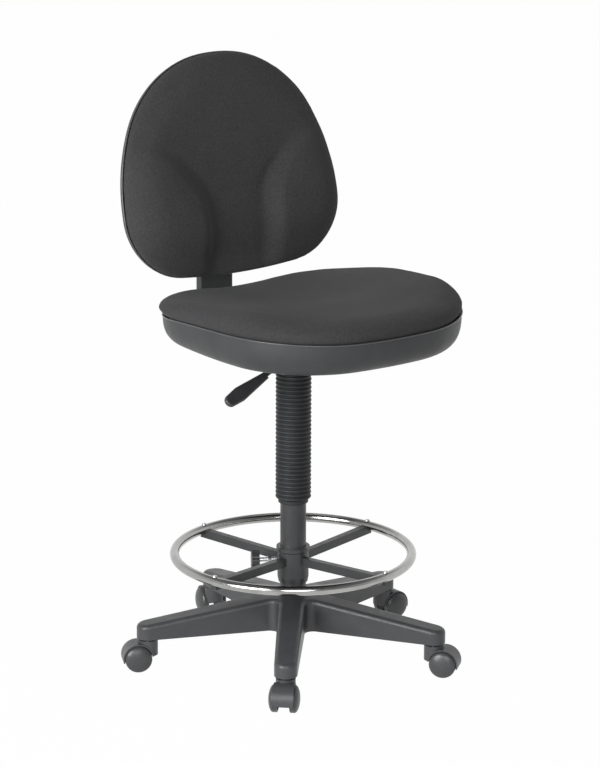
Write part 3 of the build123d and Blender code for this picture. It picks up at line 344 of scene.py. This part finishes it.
def writePoints(mesh, points):
    mesh.vertices.foreach_set("co", np.asarray(points, float).ravel())
    mesh.update()


def ease(low, high, value):
    t = np.clip((value - low) / (high - low), 0, 1)
    return t * t * (3 - 2 * t)


# Local x, y, z of a plane, and its origin, as a matrix to the chair's frame
def planeFrame(origin, out):
    z = Vector(out).normalized()
    x = Vector((1, 0, 0))
    y = z.cross(x)
    turn = Matrix((x, y, z)).transposed().to_4x4()
    turn.translation = origin
    return np.array(turn)


def toChair(plane, points):
    return points @ plane[:3, :3].T + plane[:3, 3]


def toPlane(plane, points):
    return (points - plane[:3, 3]) @ plane[:3, :3]


# One quarter of an oval as three tangent arcs, side to end
def quarterArcs(halfWidth, reach, end, corner, side):
    sideCentre = np.array((halfWidth - side, 0.0))
    endCentre = np.array((0.0, reach - end))
    line = endCentre - sideCentre
    apart = np.linalg.norm(line)
    along = ((side - corner) ** 2 - (end - corner) ** 2 + apart**2) / (2 * apart)
    across = math.sqrt((side - corner) ** 2 - along**2)
    unit = line / apart
    centre = sideCentre + unit * along + np.array((-unit[1], unit[0])) * across
    sideAngle = math.atan2(*(centre - sideCentre)[::-1])
    endAngle = math.atan2(*(centre - endCentre)[::-1])
    return (
        (sideCentre, side, 0, sideAngle),
        (centre, corner, sideAngle, endAngle),
        (endCentre, end, endAngle, math.pi / 2),
    )


arcPoints = 14


# The whole oval as a closed run of points, with an outward normal at each
def ovalRun(halfWidth, upper, lower):
    def quarter(half):
        run = []
        for centre, radius, start, stop in quarterArcs(halfWidth, **half):
            for angle in np.linspace(start, stop, arcPoints, endpoint=False):
                run.append(centre + radius * np.array((math.cos(angle), math.sin(angle))))
        run.append(np.array((0.0, half["reach"])))
        return np.array(run)

    top, low = quarter(upper), quarter(lower)
    parts = (top, top[::-1][1:] * (-1, 1), low[1:] * (-1, -1), low[::-1][1:-1] * (1, -1))
    run = np.vstack(parts)
    tangent = np.roll(run, -1, 0) - np.roll(run, 1, 0)
    normal = np.column_stack((tangent[:, 1], -tangent[:, 0]))
    return run, normal / np.linalg.norm(normal, axis=1)[:, None]


def fromEdge(points, run):
    best = np.full(len(points), np.inf)
    for start, stop in zip(run, np.roll(run, -1, 0)):
        step = stop - start
        t = np.clip((points - start) @ step / (step @ step), 0, 1)
        best = np.minimum(best, np.linalg.norm(points - start - t[:, None] * step, axis=1))
    return best


# Joins closed rings of equal count into a skin, with a point at each end
def ringSkin(rings):
    count = len(rings[0])
    points = np.vstack([rings[0].mean(0, keepdims=True)] + rings + [rings[-1].mean(0, keepdims=True)])
    faces = []
    for i in range(count):
        j = (i + 1) % count
        faces.append((0, 1 + j, 1 + i))
        for r in range(len(rings) - 1):
            a, b = 1 + r * count, 1 + (r + 1) * count
            faces.append((a + i, a + j, b + j, b + i))
        last = 1 + (len(rings) - 1) * count
        faces.append((last + i, last + j, len(points) - 1))
    return points, faces


blankLook = {"underShares": (0.3, 0.7, 1.0), "footShares": (0.35, 0.75), "rollRings": 30, "topRings": 26}


# Cushion blank: underside, seam, swelling side and sculpted top, all in the plane's own frame
def cushionBlank(run, normal, look, seamHeight, swellOut, topHeight):
    swell = swellOut(run)
    base = seamHeight(run)
    rings = []
    for share in blankLook["underShares"]:
        flat = (run - normal * look["underInset"]) * share
        rings.append(np.column_stack((flat, np.full(len(run), look["underside"]))))
    for inset in (look["underInset"], look["seamInset"]):
        rings.append(np.column_stack((run - normal * inset, base)))
    for share in blankLook["footShares"]:
        out = swell * share - look["tuck"] * (1 - share)
        rings.append(np.column_stack((run + normal * out[:, None], base + look["foot"] * share)))
    for share in np.linspace(0, 1, blankLook["rollRings"]):
        inset = share * look["rollIn"] - swell * (1 - share)
        flat = run - normal * inset[:, None]
        rings.append(np.column_stack((flat, topHeight(flat, inset + swell))))
    inner = run - normal * look["rollIn"]
    for share in np.linspace(1, 0, blankLook["topRings"])[1:-1]:
        flat = inner * share + np.array(look["middle"]) * (1 - share)
        rings.append(np.column_stack((flat, topHeight(flat, fromEdge(flat, run) + swellOut(flat)))))
    return ringSkin(rings)


# Averages a movement over neighbouring points, so that a taut cover shows no creases
def evened(mesh, shift, hold, rounds):
    edges = np.empty(len(mesh.edges) * 2, int)
    mesh.edges.foreach_get("vertices", edges)
    start, stop = edges.reshape(-1, 2).T
    count = np.bincount(edges, minlength=len(shift))[:, None]
    free = (1 - hold)[:, None]
    for _ in range(rounds):
        total = np.zeros_like(shift)
        for axis in range(3):
            total[:, axis] += np.bincount(start, shift[stop, axis], len(shift))
            total[:, axis] += np.bincount(stop, shift[start, axis], len(shift))
        shift = (shift + free * total / count) / 2
    return shift


clothLook = {
    "quality": 5,
    "mass": 0.25,
    "tension": 15.0,
    "bending": 2.0,
    "pressure": 4.0,
    "frames": 20,
    "even": 40,
    "cap": 0.0025,
}


# Pressure puffs the cover between what is held; a cap keeps each point near its blank
def puffCover(piece, hold):
    rest = readPoints(piece.data)
    group = piece.vertex_groups.new(name="held")
    for level in np.unique(hold):
        if level > 0:
            group.add(np.flatnonzero(hold == level).tolist(), float(level), "REPLACE")
    cloth = piece.modifiers.new("cover", "CLOTH")
    cloth.settings.quality = clothLook["quality"]
    cloth.settings.mass = clothLook["mass"]
    cloth.settings.tension_stiffness = clothLook["tension"]
    cloth.settings.compression_stiffness = clothLook["tension"]
    cloth.settings.bending_stiffness = clothLook["bending"]
    cloth.settings.use_pressure = True
    cloth.settings.uniform_pressure_force = clothLook["pressure"]
    cloth.settings.effector_weights.gravity = 0
    cloth.settings.vertex_group_mass = "held"
    cloth.collision_settings.use_collision = False
    cloth.point_cache.frame_start = 1
    cloth.point_cache.frame_end = clothLook["frames"]
    for step in range(1, clothLook["frames"] + 1):
        scene.frame_set(step)
    graph = bpy.context.evaluated_depsgraph_get()
    moved = readPoints(piece.evaluated_get(graph).data)
    piece.modifiers.clear()
    shift = evened(piece.data, moved - rest, hold, clothLook["even"])
    far = np.linalg.norm(shift, axis=1)
    shift *= np.minimum(1, clothLook["cap"] / np.maximum(far, tiny))[:, None]
    writePoints(piece.data, rest + shift)
    piece.vertex_groups.clear()
    scene.frame_set(1)
    mean, most = far.mean() * 1000, far.max() * 1000
    print(f"{piece.name} puffed: mean {mean:.1f} mm, most {most:.1f} mm before the cap")


# A cushion cover: the blank remeshed evenly, puffed, smoothed, and given its cloth map
def softPiece(name, blank, look, hold, clothMap):
    piece = newPiece(name, *blank, blackFabric)
    remesh = piece.modifiers.new("remesh", "REMESH")
    remesh.mode = "VOXEL"
    remesh.voxel_size = look["voxel"]
    remesh.use_smooth_shade = True
    settle(piece)
    relax = piece.modifiers.new("relax", "SMOOTH")
    relax.iterations = look["relax"]
    settle(piece)
    puffCover(piece, hold(readPoints(piece.data)))
    relax = piece.modifiers.new("relax", "SMOOTH")
    relax.iterations = look["relaxLast"]
    finer = piece.modifiers.new("finer", "SUBSURF")
    finer.levels = finer.render_levels = 1
    settle(piece)
    piece.data.polygons.foreach_set("use_smooth", [True] * len(piece.data.polygons))
    layer = piece.data.attributes.new("clothMap", "FLOAT_VECTOR", "POINT")
    layer.data.foreach_set("vector", clothMap(readPoints(piece.data)).astype(np.float32).ravel())
    print(name, "has", len(piece.data.polygons), "faces")
    return piece


# The cloth's map: flat on top, carried on outwards down the sides
def wrapMap(plane, middle, topShare=0.8):
    def mapped(points):
        local = toPlane(plane, points)
        out = local[:, :2] - middle
        away = out / np.maximum(np.linalg.norm(out, axis=1), tiny)[:, None]
        drop = np.maximum(0, np.quantile(local[:, 2], topShare) - local[:, 2])
        return np.column_stack((out + away * drop[:, None], local[:, 2]))

    return mapped


# Geometry nodes helpers


def newTree(name, look):
    tree = bpy.data.node_groups.new(name, "GeometryNodeTree")
    tree.interface.new_socket("Geometry", in_out="OUTPUT", socket_type="NodeSocketGeometry")
    tree.interface.new_socket("Geometry", in_out="INPUT", socket_type="NodeSocketGeometry")
    for label, value in look.items():
        kind = "NodeSocketInt" if isinstance(value, int) else "NodeSocketFloat"
        tree.interface.new_socket(label, in_out="INPUT", socket_type=kind)
    tree.interface.new_socket("Finish", in_out="INPUT", socket_type="NodeSocketMaterial")
    given = tree.nodes.new("NodeGroupInput").outputs

    def shut(geometry):
        soft = addNode(tree, "GeometryNodeSetShadeSmooth", {0: geometry})
        real = addNode(tree, "GeometryNodeRealizeInstances", {0: soft.outputs[0]})
        worn = addNode(tree, "GeometryNodeSetMaterial", {0: real.outputs[0], "Material": given["Finish"]})
        addNode(tree, "NodeGroupOutput", {0: worn.outputs[0]})

    return tree, given, shut


def addNode(tree, kind, inputs=None):
    item = tree.nodes.new(kind)
    for key, value in (inputs or {}).items():
        if isinstance(value, bpy.types.NodeSocket):
            tree.links.new(value, item.inputs[key])
        else:
            item.inputs[key].default_value = value
    return item


# Runs a tree over a path, which may be empty, and keeps the result as the piece's own mesh, faces outward
def grownPiece(name, points, edges, tree, look, finish):
    mesh = bpy.data.meshes.new(name)
    mesh.from_pydata([tuple(p) for p in points], edges, [])
    piece = bpy.data.objects.new(name, mesh)
    scene.collection.objects.link(piece)
    grow = piece.modifiers.new("grow", "NODES")
    grow.node_group = tree
    for item in tree.interface.items_tree:
        if item.in_out == "INPUT" and item.name in look:
            grow[item.identifier] = look[item.name]
        elif item.in_out == "INPUT" and item.name == "Finish":
            grow[item.identifier] = finish
    settle(piece)
    work = bmesh.new()
    work.from_mesh(piece.data)
    bmesh.ops.recalc_face_normals(work, faces=work.faces)
    work.to_mesh(piece.data)
    work.free()
    print(name, "grown,", len(piece.data.polygons), "faces")
    return piece


# Seat cushion

seatLook = {
    "origin": (0, -0.068, 0.681),
    "tilt": math.radians(2.5),
    "halfWidth": 0.2465,
    "front": dict(reach=0.2445, end=0.667, corner=0.194, side=0.660),
    "rear": dict(reach=0.250, end=1.108, corner=0.160, side=1.108),
    "archRadius": 2.239,
    "seamGap": 0.0012,
    "seamInset": 0.003,
    "tuck": 0.0025,
    "underInset": 0.012,
    "underside": -0.0215,
    "foot": 0.011,
    "rollIn": 0.06,
    "middle": (0.0, 0.0),
    "swell": 0.0045,
    "swellRear": 0.0063,
    "swellOver": (-0.12, 0.16),
    "crown": 0.0264,
    "slope": -0.035,
    "wing": 0.0098,
    "wingOver": (0.05, 0.21),
    "wingFade": (0.06, 0.23),
    "rearDrop": 0.0082,
    "rearDropOut": (0.06, 0.2),
    "rearDropBack": (0.04, 0.2),
    "dish": 0.0145,
    "dishAt": 0.14,
    "dishWide": 0.104,
    "dishLong": 0.215,
    "frontDrop": 0.012,
    "frontOver": (0.06, 0.25),
    "rollSide": 0.03,
    "rollFront": 0.045,
    "rollOver": (-0.04, 0.2),
    "holdBelow": 0.004,
    "voxel": 0.005,
    "relax": 2,
    "relaxLast": 2,
}
seatPlane = planeFrame(seatLook["origin"], (0, math.sin(seatLook["tilt"]), math.cos(seatLook["tilt"])))
seatRun, seatNormal = ovalRun(seatLook["halfWidth"], seatLook["rear"], seatLook["front"])


def seatSeam(flat):
    radius = seatLook["archRadius"]
    return np.sqrt(radius**2 - flat[:, 1] ** 2) - radius + seatLook["seamGap"]


# How far the side stands out past the seam's oval, more towards the back
def seatSwell(flat):
    return seatLook["swell"] + seatLook["swellRear"] * ease(*seatLook["swellOver"], flat[:, 1])


# Crowned, with raised sides, a dish towards the back and a long front roll
def seatTop(flat, inset):
    x, y = np.abs(flat[:, 0]), flat[:, 1]
    full = seatLook["crown"] + seatLook["slope"] * y
    full += seatLook["wing"] * ease(*seatLook["wingOver"], x) * (1 - ease(*seatLook["wingFade"], -y))
    full -= seatLook["rearDrop"] * ease(*seatLook["rearDropOut"], x) * ease(*seatLook["rearDropBack"], y)
    away = (x / seatLook["dishWide"]) ** 2 + ((y - seatLook["dishAt"]) / seatLook["dishLong"]) ** 2
    full -= seatLook["dish"] * np.exp(-away)
    full -= seatLook["frontDrop"] * ease(*seatLook["frontOver"], -y)
    longer = seatLook["rollFront"] - seatLook["rollSide"]
    roll = seatLook["rollSide"] + longer * ease(*seatLook["rollOver"], -y)
    t = np.clip(inset / roll, 0, 1)
    foot = seatSeam(flat) + seatLook["foot"]
    return foot + (full - foot) * np.sqrt(1 - (1 - t) ** 2)


def seatHold(points):
    local = toPlane(seatPlane, points)
    above = local[:, 2] - seatSeam(local[:, :2])
    return np.where(above < seatLook["holdBelow"], 1.0, 0.0)


seatPoints, seatFaces = cushionBlank(seatRun, seatNormal, seatLook, seatSeam, seatSwell, seatTop)
seatBlank = (toChair(seatPlane, seatPoints), seatFaces)
seatCover = softPiece("seat_cover", seatBlank, seatLook, seatHold, wrapMap(seatPlane, seatLook["middle"]))
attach(seatCover, "seat")
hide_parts("seat_cushion")
print("seat cushion done")

# Back cushion

backLook = {
    "origin": (0, 0.2036, 0.840),
    "lean": math.radians(12),
    "halfWidth": 0.2335,
    "upper": dict(reach=0.2685, end=0.335, corner=0.208, side=0.350),
    "lower": dict(reach=0.139, end=1.3, corner=0.119, side=4.0),
    "seamGap": 0.0006,
    "seamInset": 0.0015,
    "tuck": 0.0005,
    "underInset": 0.007,
    "underside": -0.0018,
    "foot": 0.008,
    "rollIn": 0.05,
    "middle": (0.0, 0.04),
    "swell": 0.002,
    "panel": 0.031,
    "sink": 0.0105,
    "sinkOver": (-0.01, 0.16),
    "lumbar": 0.004,
    "lumbarAt": -0.035,
    "lumbarLong": 0.06,
    "panelLow": 0.01,
    "panelLowOver": (0.04, 0.12),
    "bolster": 0.024,
    "bolsterRise": (-0.004, 0.036),
    "bolsterLow": 0.25,
    "bolsterLowOver": (0.06, 0.14),
    "waist": 0.057,
    "flare": 3.414e-4,
    "flareFromMm": -40,
    "flarePower": 2.5,
    "groove": 0.8,
    "grooveWide": 0.006,
    "grooveOver": (0.0, 0.1),
    "roll": 0.07,
    "holdBelow": 0.004,
    "voxel": 0.0045,
    "relax": 3,
    "relaxLast": 2,
}
backPlane = planeFrame(backLook["origin"], (0, -math.cos(backLook["lean"]), math.sin(backLook["lean"])))
backRun, backNormal = ovalRun(backLook["halfWidth"], backLook["upper"], backLook["lower"])


def backSeam(flat):
    return np.full(len(flat), backLook["seamGap"])


def backSwell(flat):
    return np.full(len(flat), backLook["swell"])


# Half-width of the spine panel: narrow at the waist, flaring up towards the shoulders; the flare is in mm
def panelHalf(y):
    rise = np.maximum(0, y * 1000 - backLook["flareFromMm"])
    return backLook["waist"] + backLook["flare"] * rise ** backLook["flarePower"] / 1000


# How far a point lies outside the spine panel's edge, square to that edge
def besidePanel(flat, step=0.001):
    x, y = np.abs(flat[:, 0]), flat[:, 1]
    slope = (panelHalf(y + step) - panelHalf(y - step)) / (2 * step)
    return (x - panelHalf(y)) / np.sqrt(1 + slope**2)


# A spine panel, sunk towards the waist with a slight lumbar swell, between two bolsters that fade out upwards
def backTop(flat, inset):
    y = flat[:, 1]
    low = 1 - ease(*backLook["sinkOver"], y)
    panel = backLook["panel"] - backLook["sink"] * low
    lumbar = np.exp(-(((y - backLook["lumbarAt"]) / backLook["lumbarLong"]) ** 2))
    panel += backLook["lumbar"] * lumbar - backLook["panelLow"] * ease(*backLook["panelLowOver"], -y)
    height = backLook["bolster"] * low * (1 - backLook["bolsterLow"] * ease(*backLook["bolsterLowOver"], -y))
    panel += height * ease(*backLook["bolsterRise"], besidePanel(flat))
    t = np.clip(inset / backLook["roll"], 0, 1)
    foot = backLook["foot"]
    return foot + (panel - foot) * np.sqrt(1 - (1 - t) ** 2)


def backHold(points):
    local = toPlane(backPlane, points)
    groove = np.exp(-((besidePanel(local[:, :2]) / backLook["grooveWide"]) ** 2))
    groove = groove * (1 - ease(*backLook["grooveOver"], local[:, 1]))
    return np.where(local[:, 2] < backLook["holdBelow"], 1.0, np.round(backLook["groove"] * groove, 1))


backPoints, backFaces = cushionBlank(backRun, backNormal, backLook, backSeam, backSwell, backTop)
backBlank = (toChair(backPlane, backPoints), backFaces)
backCover = softPiece("back_cover", backBlank, backLook, backHold, wrapMap(backPlane, backLook["middle"]))
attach(backCover, "back")
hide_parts("back_cushion")
print("back cushion done")

# Ribbed boot

bootLook = {
    "Bottom": 0.302,
    "Top": 0.5564,
    "Neck height": 0.007,
    "Neck radius": 0.0278,
    "Ribs": 31.0,
    "Rib radius": 0.033,
    "Rib power": 0.7,
    "Valley radius": 0.0288,
    "Wall": 0.0034,
    "End taper": 40.0,
    "Weld": 0.00002,
    "Around": 72,
    "Rows": 640,
}


# A skin wound round the column: up the ribbed outside, back down the inside, closed on itself
def bootTree():
    tree, given, shut = newTree("ribbed boot", bootLook)

    def calc(operation, first, second=None):
        return mathOf(tree, operation, first, second)

    around = calc("ADD", given["Around"], 1)
    grid = addNode(tree, "GeometryNodeMeshGrid", {"Vertices X": around, "Vertices Y": given["Rows"]})
    place = addNode(tree, "ShaderNodeSeparateXYZ", {0: addNode(tree, "GeometryNodeInputPosition").outputs[0]})
    angle = calc("MULTIPLY", calc("ADD", place.outputs["X"], 0.5), 2 * math.pi)
    inside = calc("GREATER_THAN", place.outputs["Y"], 0.0)
    climb = calc("SUBTRACT", 1.0, calc("ABSOLUTE", calc("MULTIPLY", place.outputs["Y"], 2.0)))
    tall = calc("SUBTRACT", given["Top"], given["Bottom"])
    rise = calc("MULTIPLY", climb, tall)
    height = calc("ADD", given["Bottom"], rise)
    ribbed = calc("SUBTRACT", rise, given["Neck height"])
    share = calc("DIVIDE", ribbed, calc("SUBTRACT", tall, given["Neck height"]))
    wave = calc("SINE", calc("MULTIPLY", calc("MULTIPLY", share, given["Ribs"]), math.pi))
    bead = calc("POWER", calc("ABSOLUTE", wave), given["Rib power"])
    depth = calc("SUBTRACT", given["Rib radius"], given["Valley radius"])
    ribs = calc("ADD", given["Valley radius"], calc("MULTIPLY", depth, bead))
    above = calc("GREATER_THAN", ribbed, 0.0)
    wider = calc("MULTIPLY", calc("SUBTRACT", ribs, given["Neck radius"]), above)
    outside = calc("ADD", wider, given["Neck radius"])
    taper = calc("MINIMUM", calc("MULTIPLY", climb, given["End taper"]), 1.0)
    thick = calc("MULTIPLY", calc("MULTIPLY", given["Wall"], taper), inside)
    radius = calc("SUBTRACT", outside, thick)
    sideX = calc("MULTIPLY", radius, calc("COSINE", angle))
    sideY = calc("MULTIPLY", radius, calc("SINE", angle))
    spot = addNode(tree, "ShaderNodeCombineXYZ", {"X": sideX, "Y": sideY, "Z": height})
    wound = addNode(tree, "GeometryNodeSetPosition", {0: grid.outputs["Mesh"], "Position": spot.outputs[0]})
    welded = addNode(tree, "GeometryNodeMergeByDistance", {0: wound.outputs[0], "Distance": given["Weld"]})
    shut(welded.outputs[0])
    return tree


boot = grownPiece("boot_cover", [], [], bootTree(), bootLook, bootRubber)
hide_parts("boot")
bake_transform(boot)
print("boot done")

# Foot ring and the shells' edge beads

ringLook = {"Radius": 0.0088, "Sides": 40}
beadLook = {"Radius": 0.0014, "Sides": 14}
ringPath = {"radius": 0.2198, "height": 0.2015, "points": 180}
beadPath = {"outward": 0.0004}


# A round bar along the edges it is given
def barTree():
    tree, given, shut = newTree("round bar", beadLook)
    path = addNode(tree, "GeometryNodeMeshToCurve", {0: given["Geometry"]})
    sizes = {"Resolution": given["Sides"], "Radius": given["Radius"]}
    profile = addNode(tree, "GeometryNodeCurvePrimitiveCircle", sizes)
    curves = {"Curve": path.outputs[0], "Profile Curve": profile.outputs[0]}
    shut(addNode(tree, "GeometryNodeCurveToMesh", curves).outputs[0])
    return tree


def closedEdges(count):
    return [(i, (i + 1) % count) for i in range(count)]


roundBar = barTree()
turns = np.linspace(0, 2 * math.pi, ringPath["points"], endpoint=False)
ringLevel = np.full(len(turns), ringPath["height"])
ringFlat = np.column_stack((np.cos(turns), np.sin(turns))) * ringPath["radius"]
ringPoints = np.column_stack((ringFlat, ringLevel))
ring = grownPiece("ring_tube", ringPoints, closedEdges(len(ringPoints)), roundBar, ringLook, chromePlate)
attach(ring, "foot_ring")
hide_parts("foot_ring")


def beadPiece(name, plane, flat, height):
    edge = toChair(plane, np.column_stack((flat, height)))
    # The bead wears the lightened plastic: its trim colour carries a painted highlight
    return grownPiece(name, edge, closedEdges(len(edge)), roundBar, beadLook, beadPlasticPaintedHighlight)


seatRim = seatRun + seatNormal * beadPath["outward"]
seatBead = beadPiece("seat_bead", seatPlane, seatRim, seatSeam(seatRun) - seatLook["seamGap"])
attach(seatBead, "seat")
backRim = backRun + backNormal * beadPath["outward"]
backBead = beadPiece("back_bead", backPlane, backRim, np.zeros(len(backRun)))
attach(backBead, "back")
print("ring and beads done")

# Camera, light and floor

viewLook = {
    "azimuth": math.radians(36),
    "distance": 6.0,
    "height": 2.171,
    "pitch": math.radians(15.322),
    "yaw": 0.00195,
    "roll": 0.0037,
    "lens": 159.5,
    "sensor": 36,
    "farthest": 100,
}
camera = bpy.data.objects.new("camera", bpy.data.cameras.new("camera"))
scene.collection.objects.link(camera)
camera.data.sensor_width = viewLook["sensor"]
camera.data.lens = viewLook["lens"]
camera.data.clip_end = viewLook["farthest"]
camera.location = (
    -viewLook["distance"] * math.sin(viewLook["azimuth"]),
    -viewLook["distance"] * math.cos(viewLook["azimuth"]),
    viewLook["height"],
)
heading = Matrix.Rotation(-viewLook["azimuth"] - viewLook["yaw"], 3, "Z")
dip = Matrix.Rotation(math.pi / 2 - viewLook["pitch"], 3, "X")
camera.rotation_euler = (heading @ dip @ Matrix.Rotation(viewLook["roll"], 3, "Z")).to_euler()
scene.camera = camera


lampLook = {
    "key": dict(place=(-4.5, -1.0, 1.9), aim=(0, 0, 0.85), size=3.0, power=290),
    "fill": dict(place=(-2.6, -4.2, 2.0), aim=(0, 0, 0.85), size=2.6, power=110),
    "top": dict(place=(0.3, 0.6, 4.0), aim=(0, 0, 0.5), size=2.6, power=8),
}


def addLamp(name, place, aim, size, power):
    lamp = bpy.data.objects.new(name, bpy.data.lights.new(name, "AREA"))
    lamp.data.shape = "DISK"
    lamp.data.size = size
    lamp.data.energy = power
    lamp.location = place
    lamp.rotation_euler = (Vector(aim) - Vector(place)).to_track_quat("-Z", "Y").to_euler()
    scene.collection.objects.link(lamp)


for name, look in lampLook.items():
    addLamp(name, **look)


# One for what the camera sees straight, in a mirror or through something clear, else zero
def seenRays(tree):
    path = tree.nodes.new("ShaderNodeLightPath")
    seen = mathOf(tree, "MAXIMUM", path.outputs["Is Camera Ray"], path.outputs["Is Glossy Ray"])
    return mathOf(tree, "MAXIMUM", seen, path.outputs["Is Transmission Ray"])


skyLook = {
    "overhead": ((0.45, (1, 1, 1)), (0.75, (0.25, 0.25, 0.26))),
    "dimmed": 0.28,
    "dimFrom": 0.3,
    "dimTo": -0.7,
    "lightTone": (0.95, 0.97, 1, 1),
    "light": 0.4,
}

# A white backdrop that ends overhead; mirrors see it dim towards the camera, the camera sees it at full
# strength, and everything else gets an even pale light
world = bpy.data.worlds.new("studio")
scene.world = world
world.use_nodes = True
sky = world.node_tree
sky.nodes.clear()
skyWay = sky.nodes.new("ShaderNodeTexCoord")
skyParts = sky.nodes.new("ShaderNodeSeparateXYZ")
sky.links.new(skyWay.outputs["Generated"], skyParts.inputs["Vector"])
overhead = rampOf(sky, skyParts.outputs["Z"], skyLook["overhead"])
behind = sky.nodes.new("ShaderNodeVectorMath")
behind.operation = "DOT_PRODUCT"
behind.inputs[1].default_value = (math.sin(viewLook["azimuth"]), math.cos(viewLook["azimuth"]), 0)
sky.links.new(skyWay.outputs["Generated"], behind.inputs[0])
facing = spread(sky, behind.outputs["Value"], skyLook["dimmed"], 1.0, skyLook["dimTo"], skyLook["dimFrom"])
skyPath = sky.nodes.new("ShaderNodeLightPath")
facing = mathOf(sky, "MAXIMUM", facing, skyPath.outputs["Is Camera Ray"])
skySeen, skyLight = sky.nodes.new("ShaderNodeBackground"), sky.nodes.new("ShaderNodeBackground")
sky.links.new(overhead, skySeen.inputs["Color"])
sky.links.new(facing, skySeen.inputs["Strength"])
skyLight.inputs["Color"].default_value = skyLook["lightTone"]
skyLight.inputs["Strength"].default_value = skyLook["light"]
skyMix = sky.nodes.new("ShaderNodeMixShader")
sky.links.new(seenRays(sky), skyMix.inputs["Fac"])
sky.links.new(skyLight.outputs["Background"], skyMix.inputs[1])
sky.links.new(skySeen.outputs["Background"], skyMix.inputs[2])
skyOut = sky.nodes.new("ShaderNodeOutputWorld")
sky.links.new(skyMix.outputs["Shader"], skyOut.inputs["Surface"])

floorLook = {"half": 20, "tone": (0.5, 0.5, 0.5, 1), "glow": (1, 1, 1, 1), "glowShare": 0.985}
floorFinish = bpy.data.materials.new("white floor")
floorFinish.use_nodes = True
ground = floorFinish.node_tree
ground.nodes.clear()
groundDiffuse = ground.nodes.new("ShaderNodeBsdfDiffuse")
groundDiffuse.inputs["Color"].default_value = floorLook["tone"]
groundGlow = ground.nodes.new("ShaderNodeEmission")
groundGlow.inputs["Color"].default_value = floorLook["glow"]
groundMix = ground.nodes.new("ShaderNodeMixShader")
groundShare = mathOf(ground, "MULTIPLY", seenRays(ground), floorLook["glowShare"])
ground.links.new(groundShare, groundMix.inputs["Fac"])
ground.links.new(groundDiffuse.outputs["BSDF"], groundMix.inputs[1])
ground.links.new(groundGlow.outputs["Emission"], groundMix.inputs[2])
groundOut = ground.nodes.new("ShaderNodeOutputMaterial")
ground.links.new(groundMix.outputs["Shader"], groundOut.inputs["Surface"])
half = floorLook["half"]
floorPoints = [(-half, -half, 0), (half, -half, 0), (half, half, 0), (-half, half, 0)]
floor = newPiece("floor", floorPoints, [(0, 1, 2, 3)], floorFinish, smooth=False)
print("camera, light and floor done")
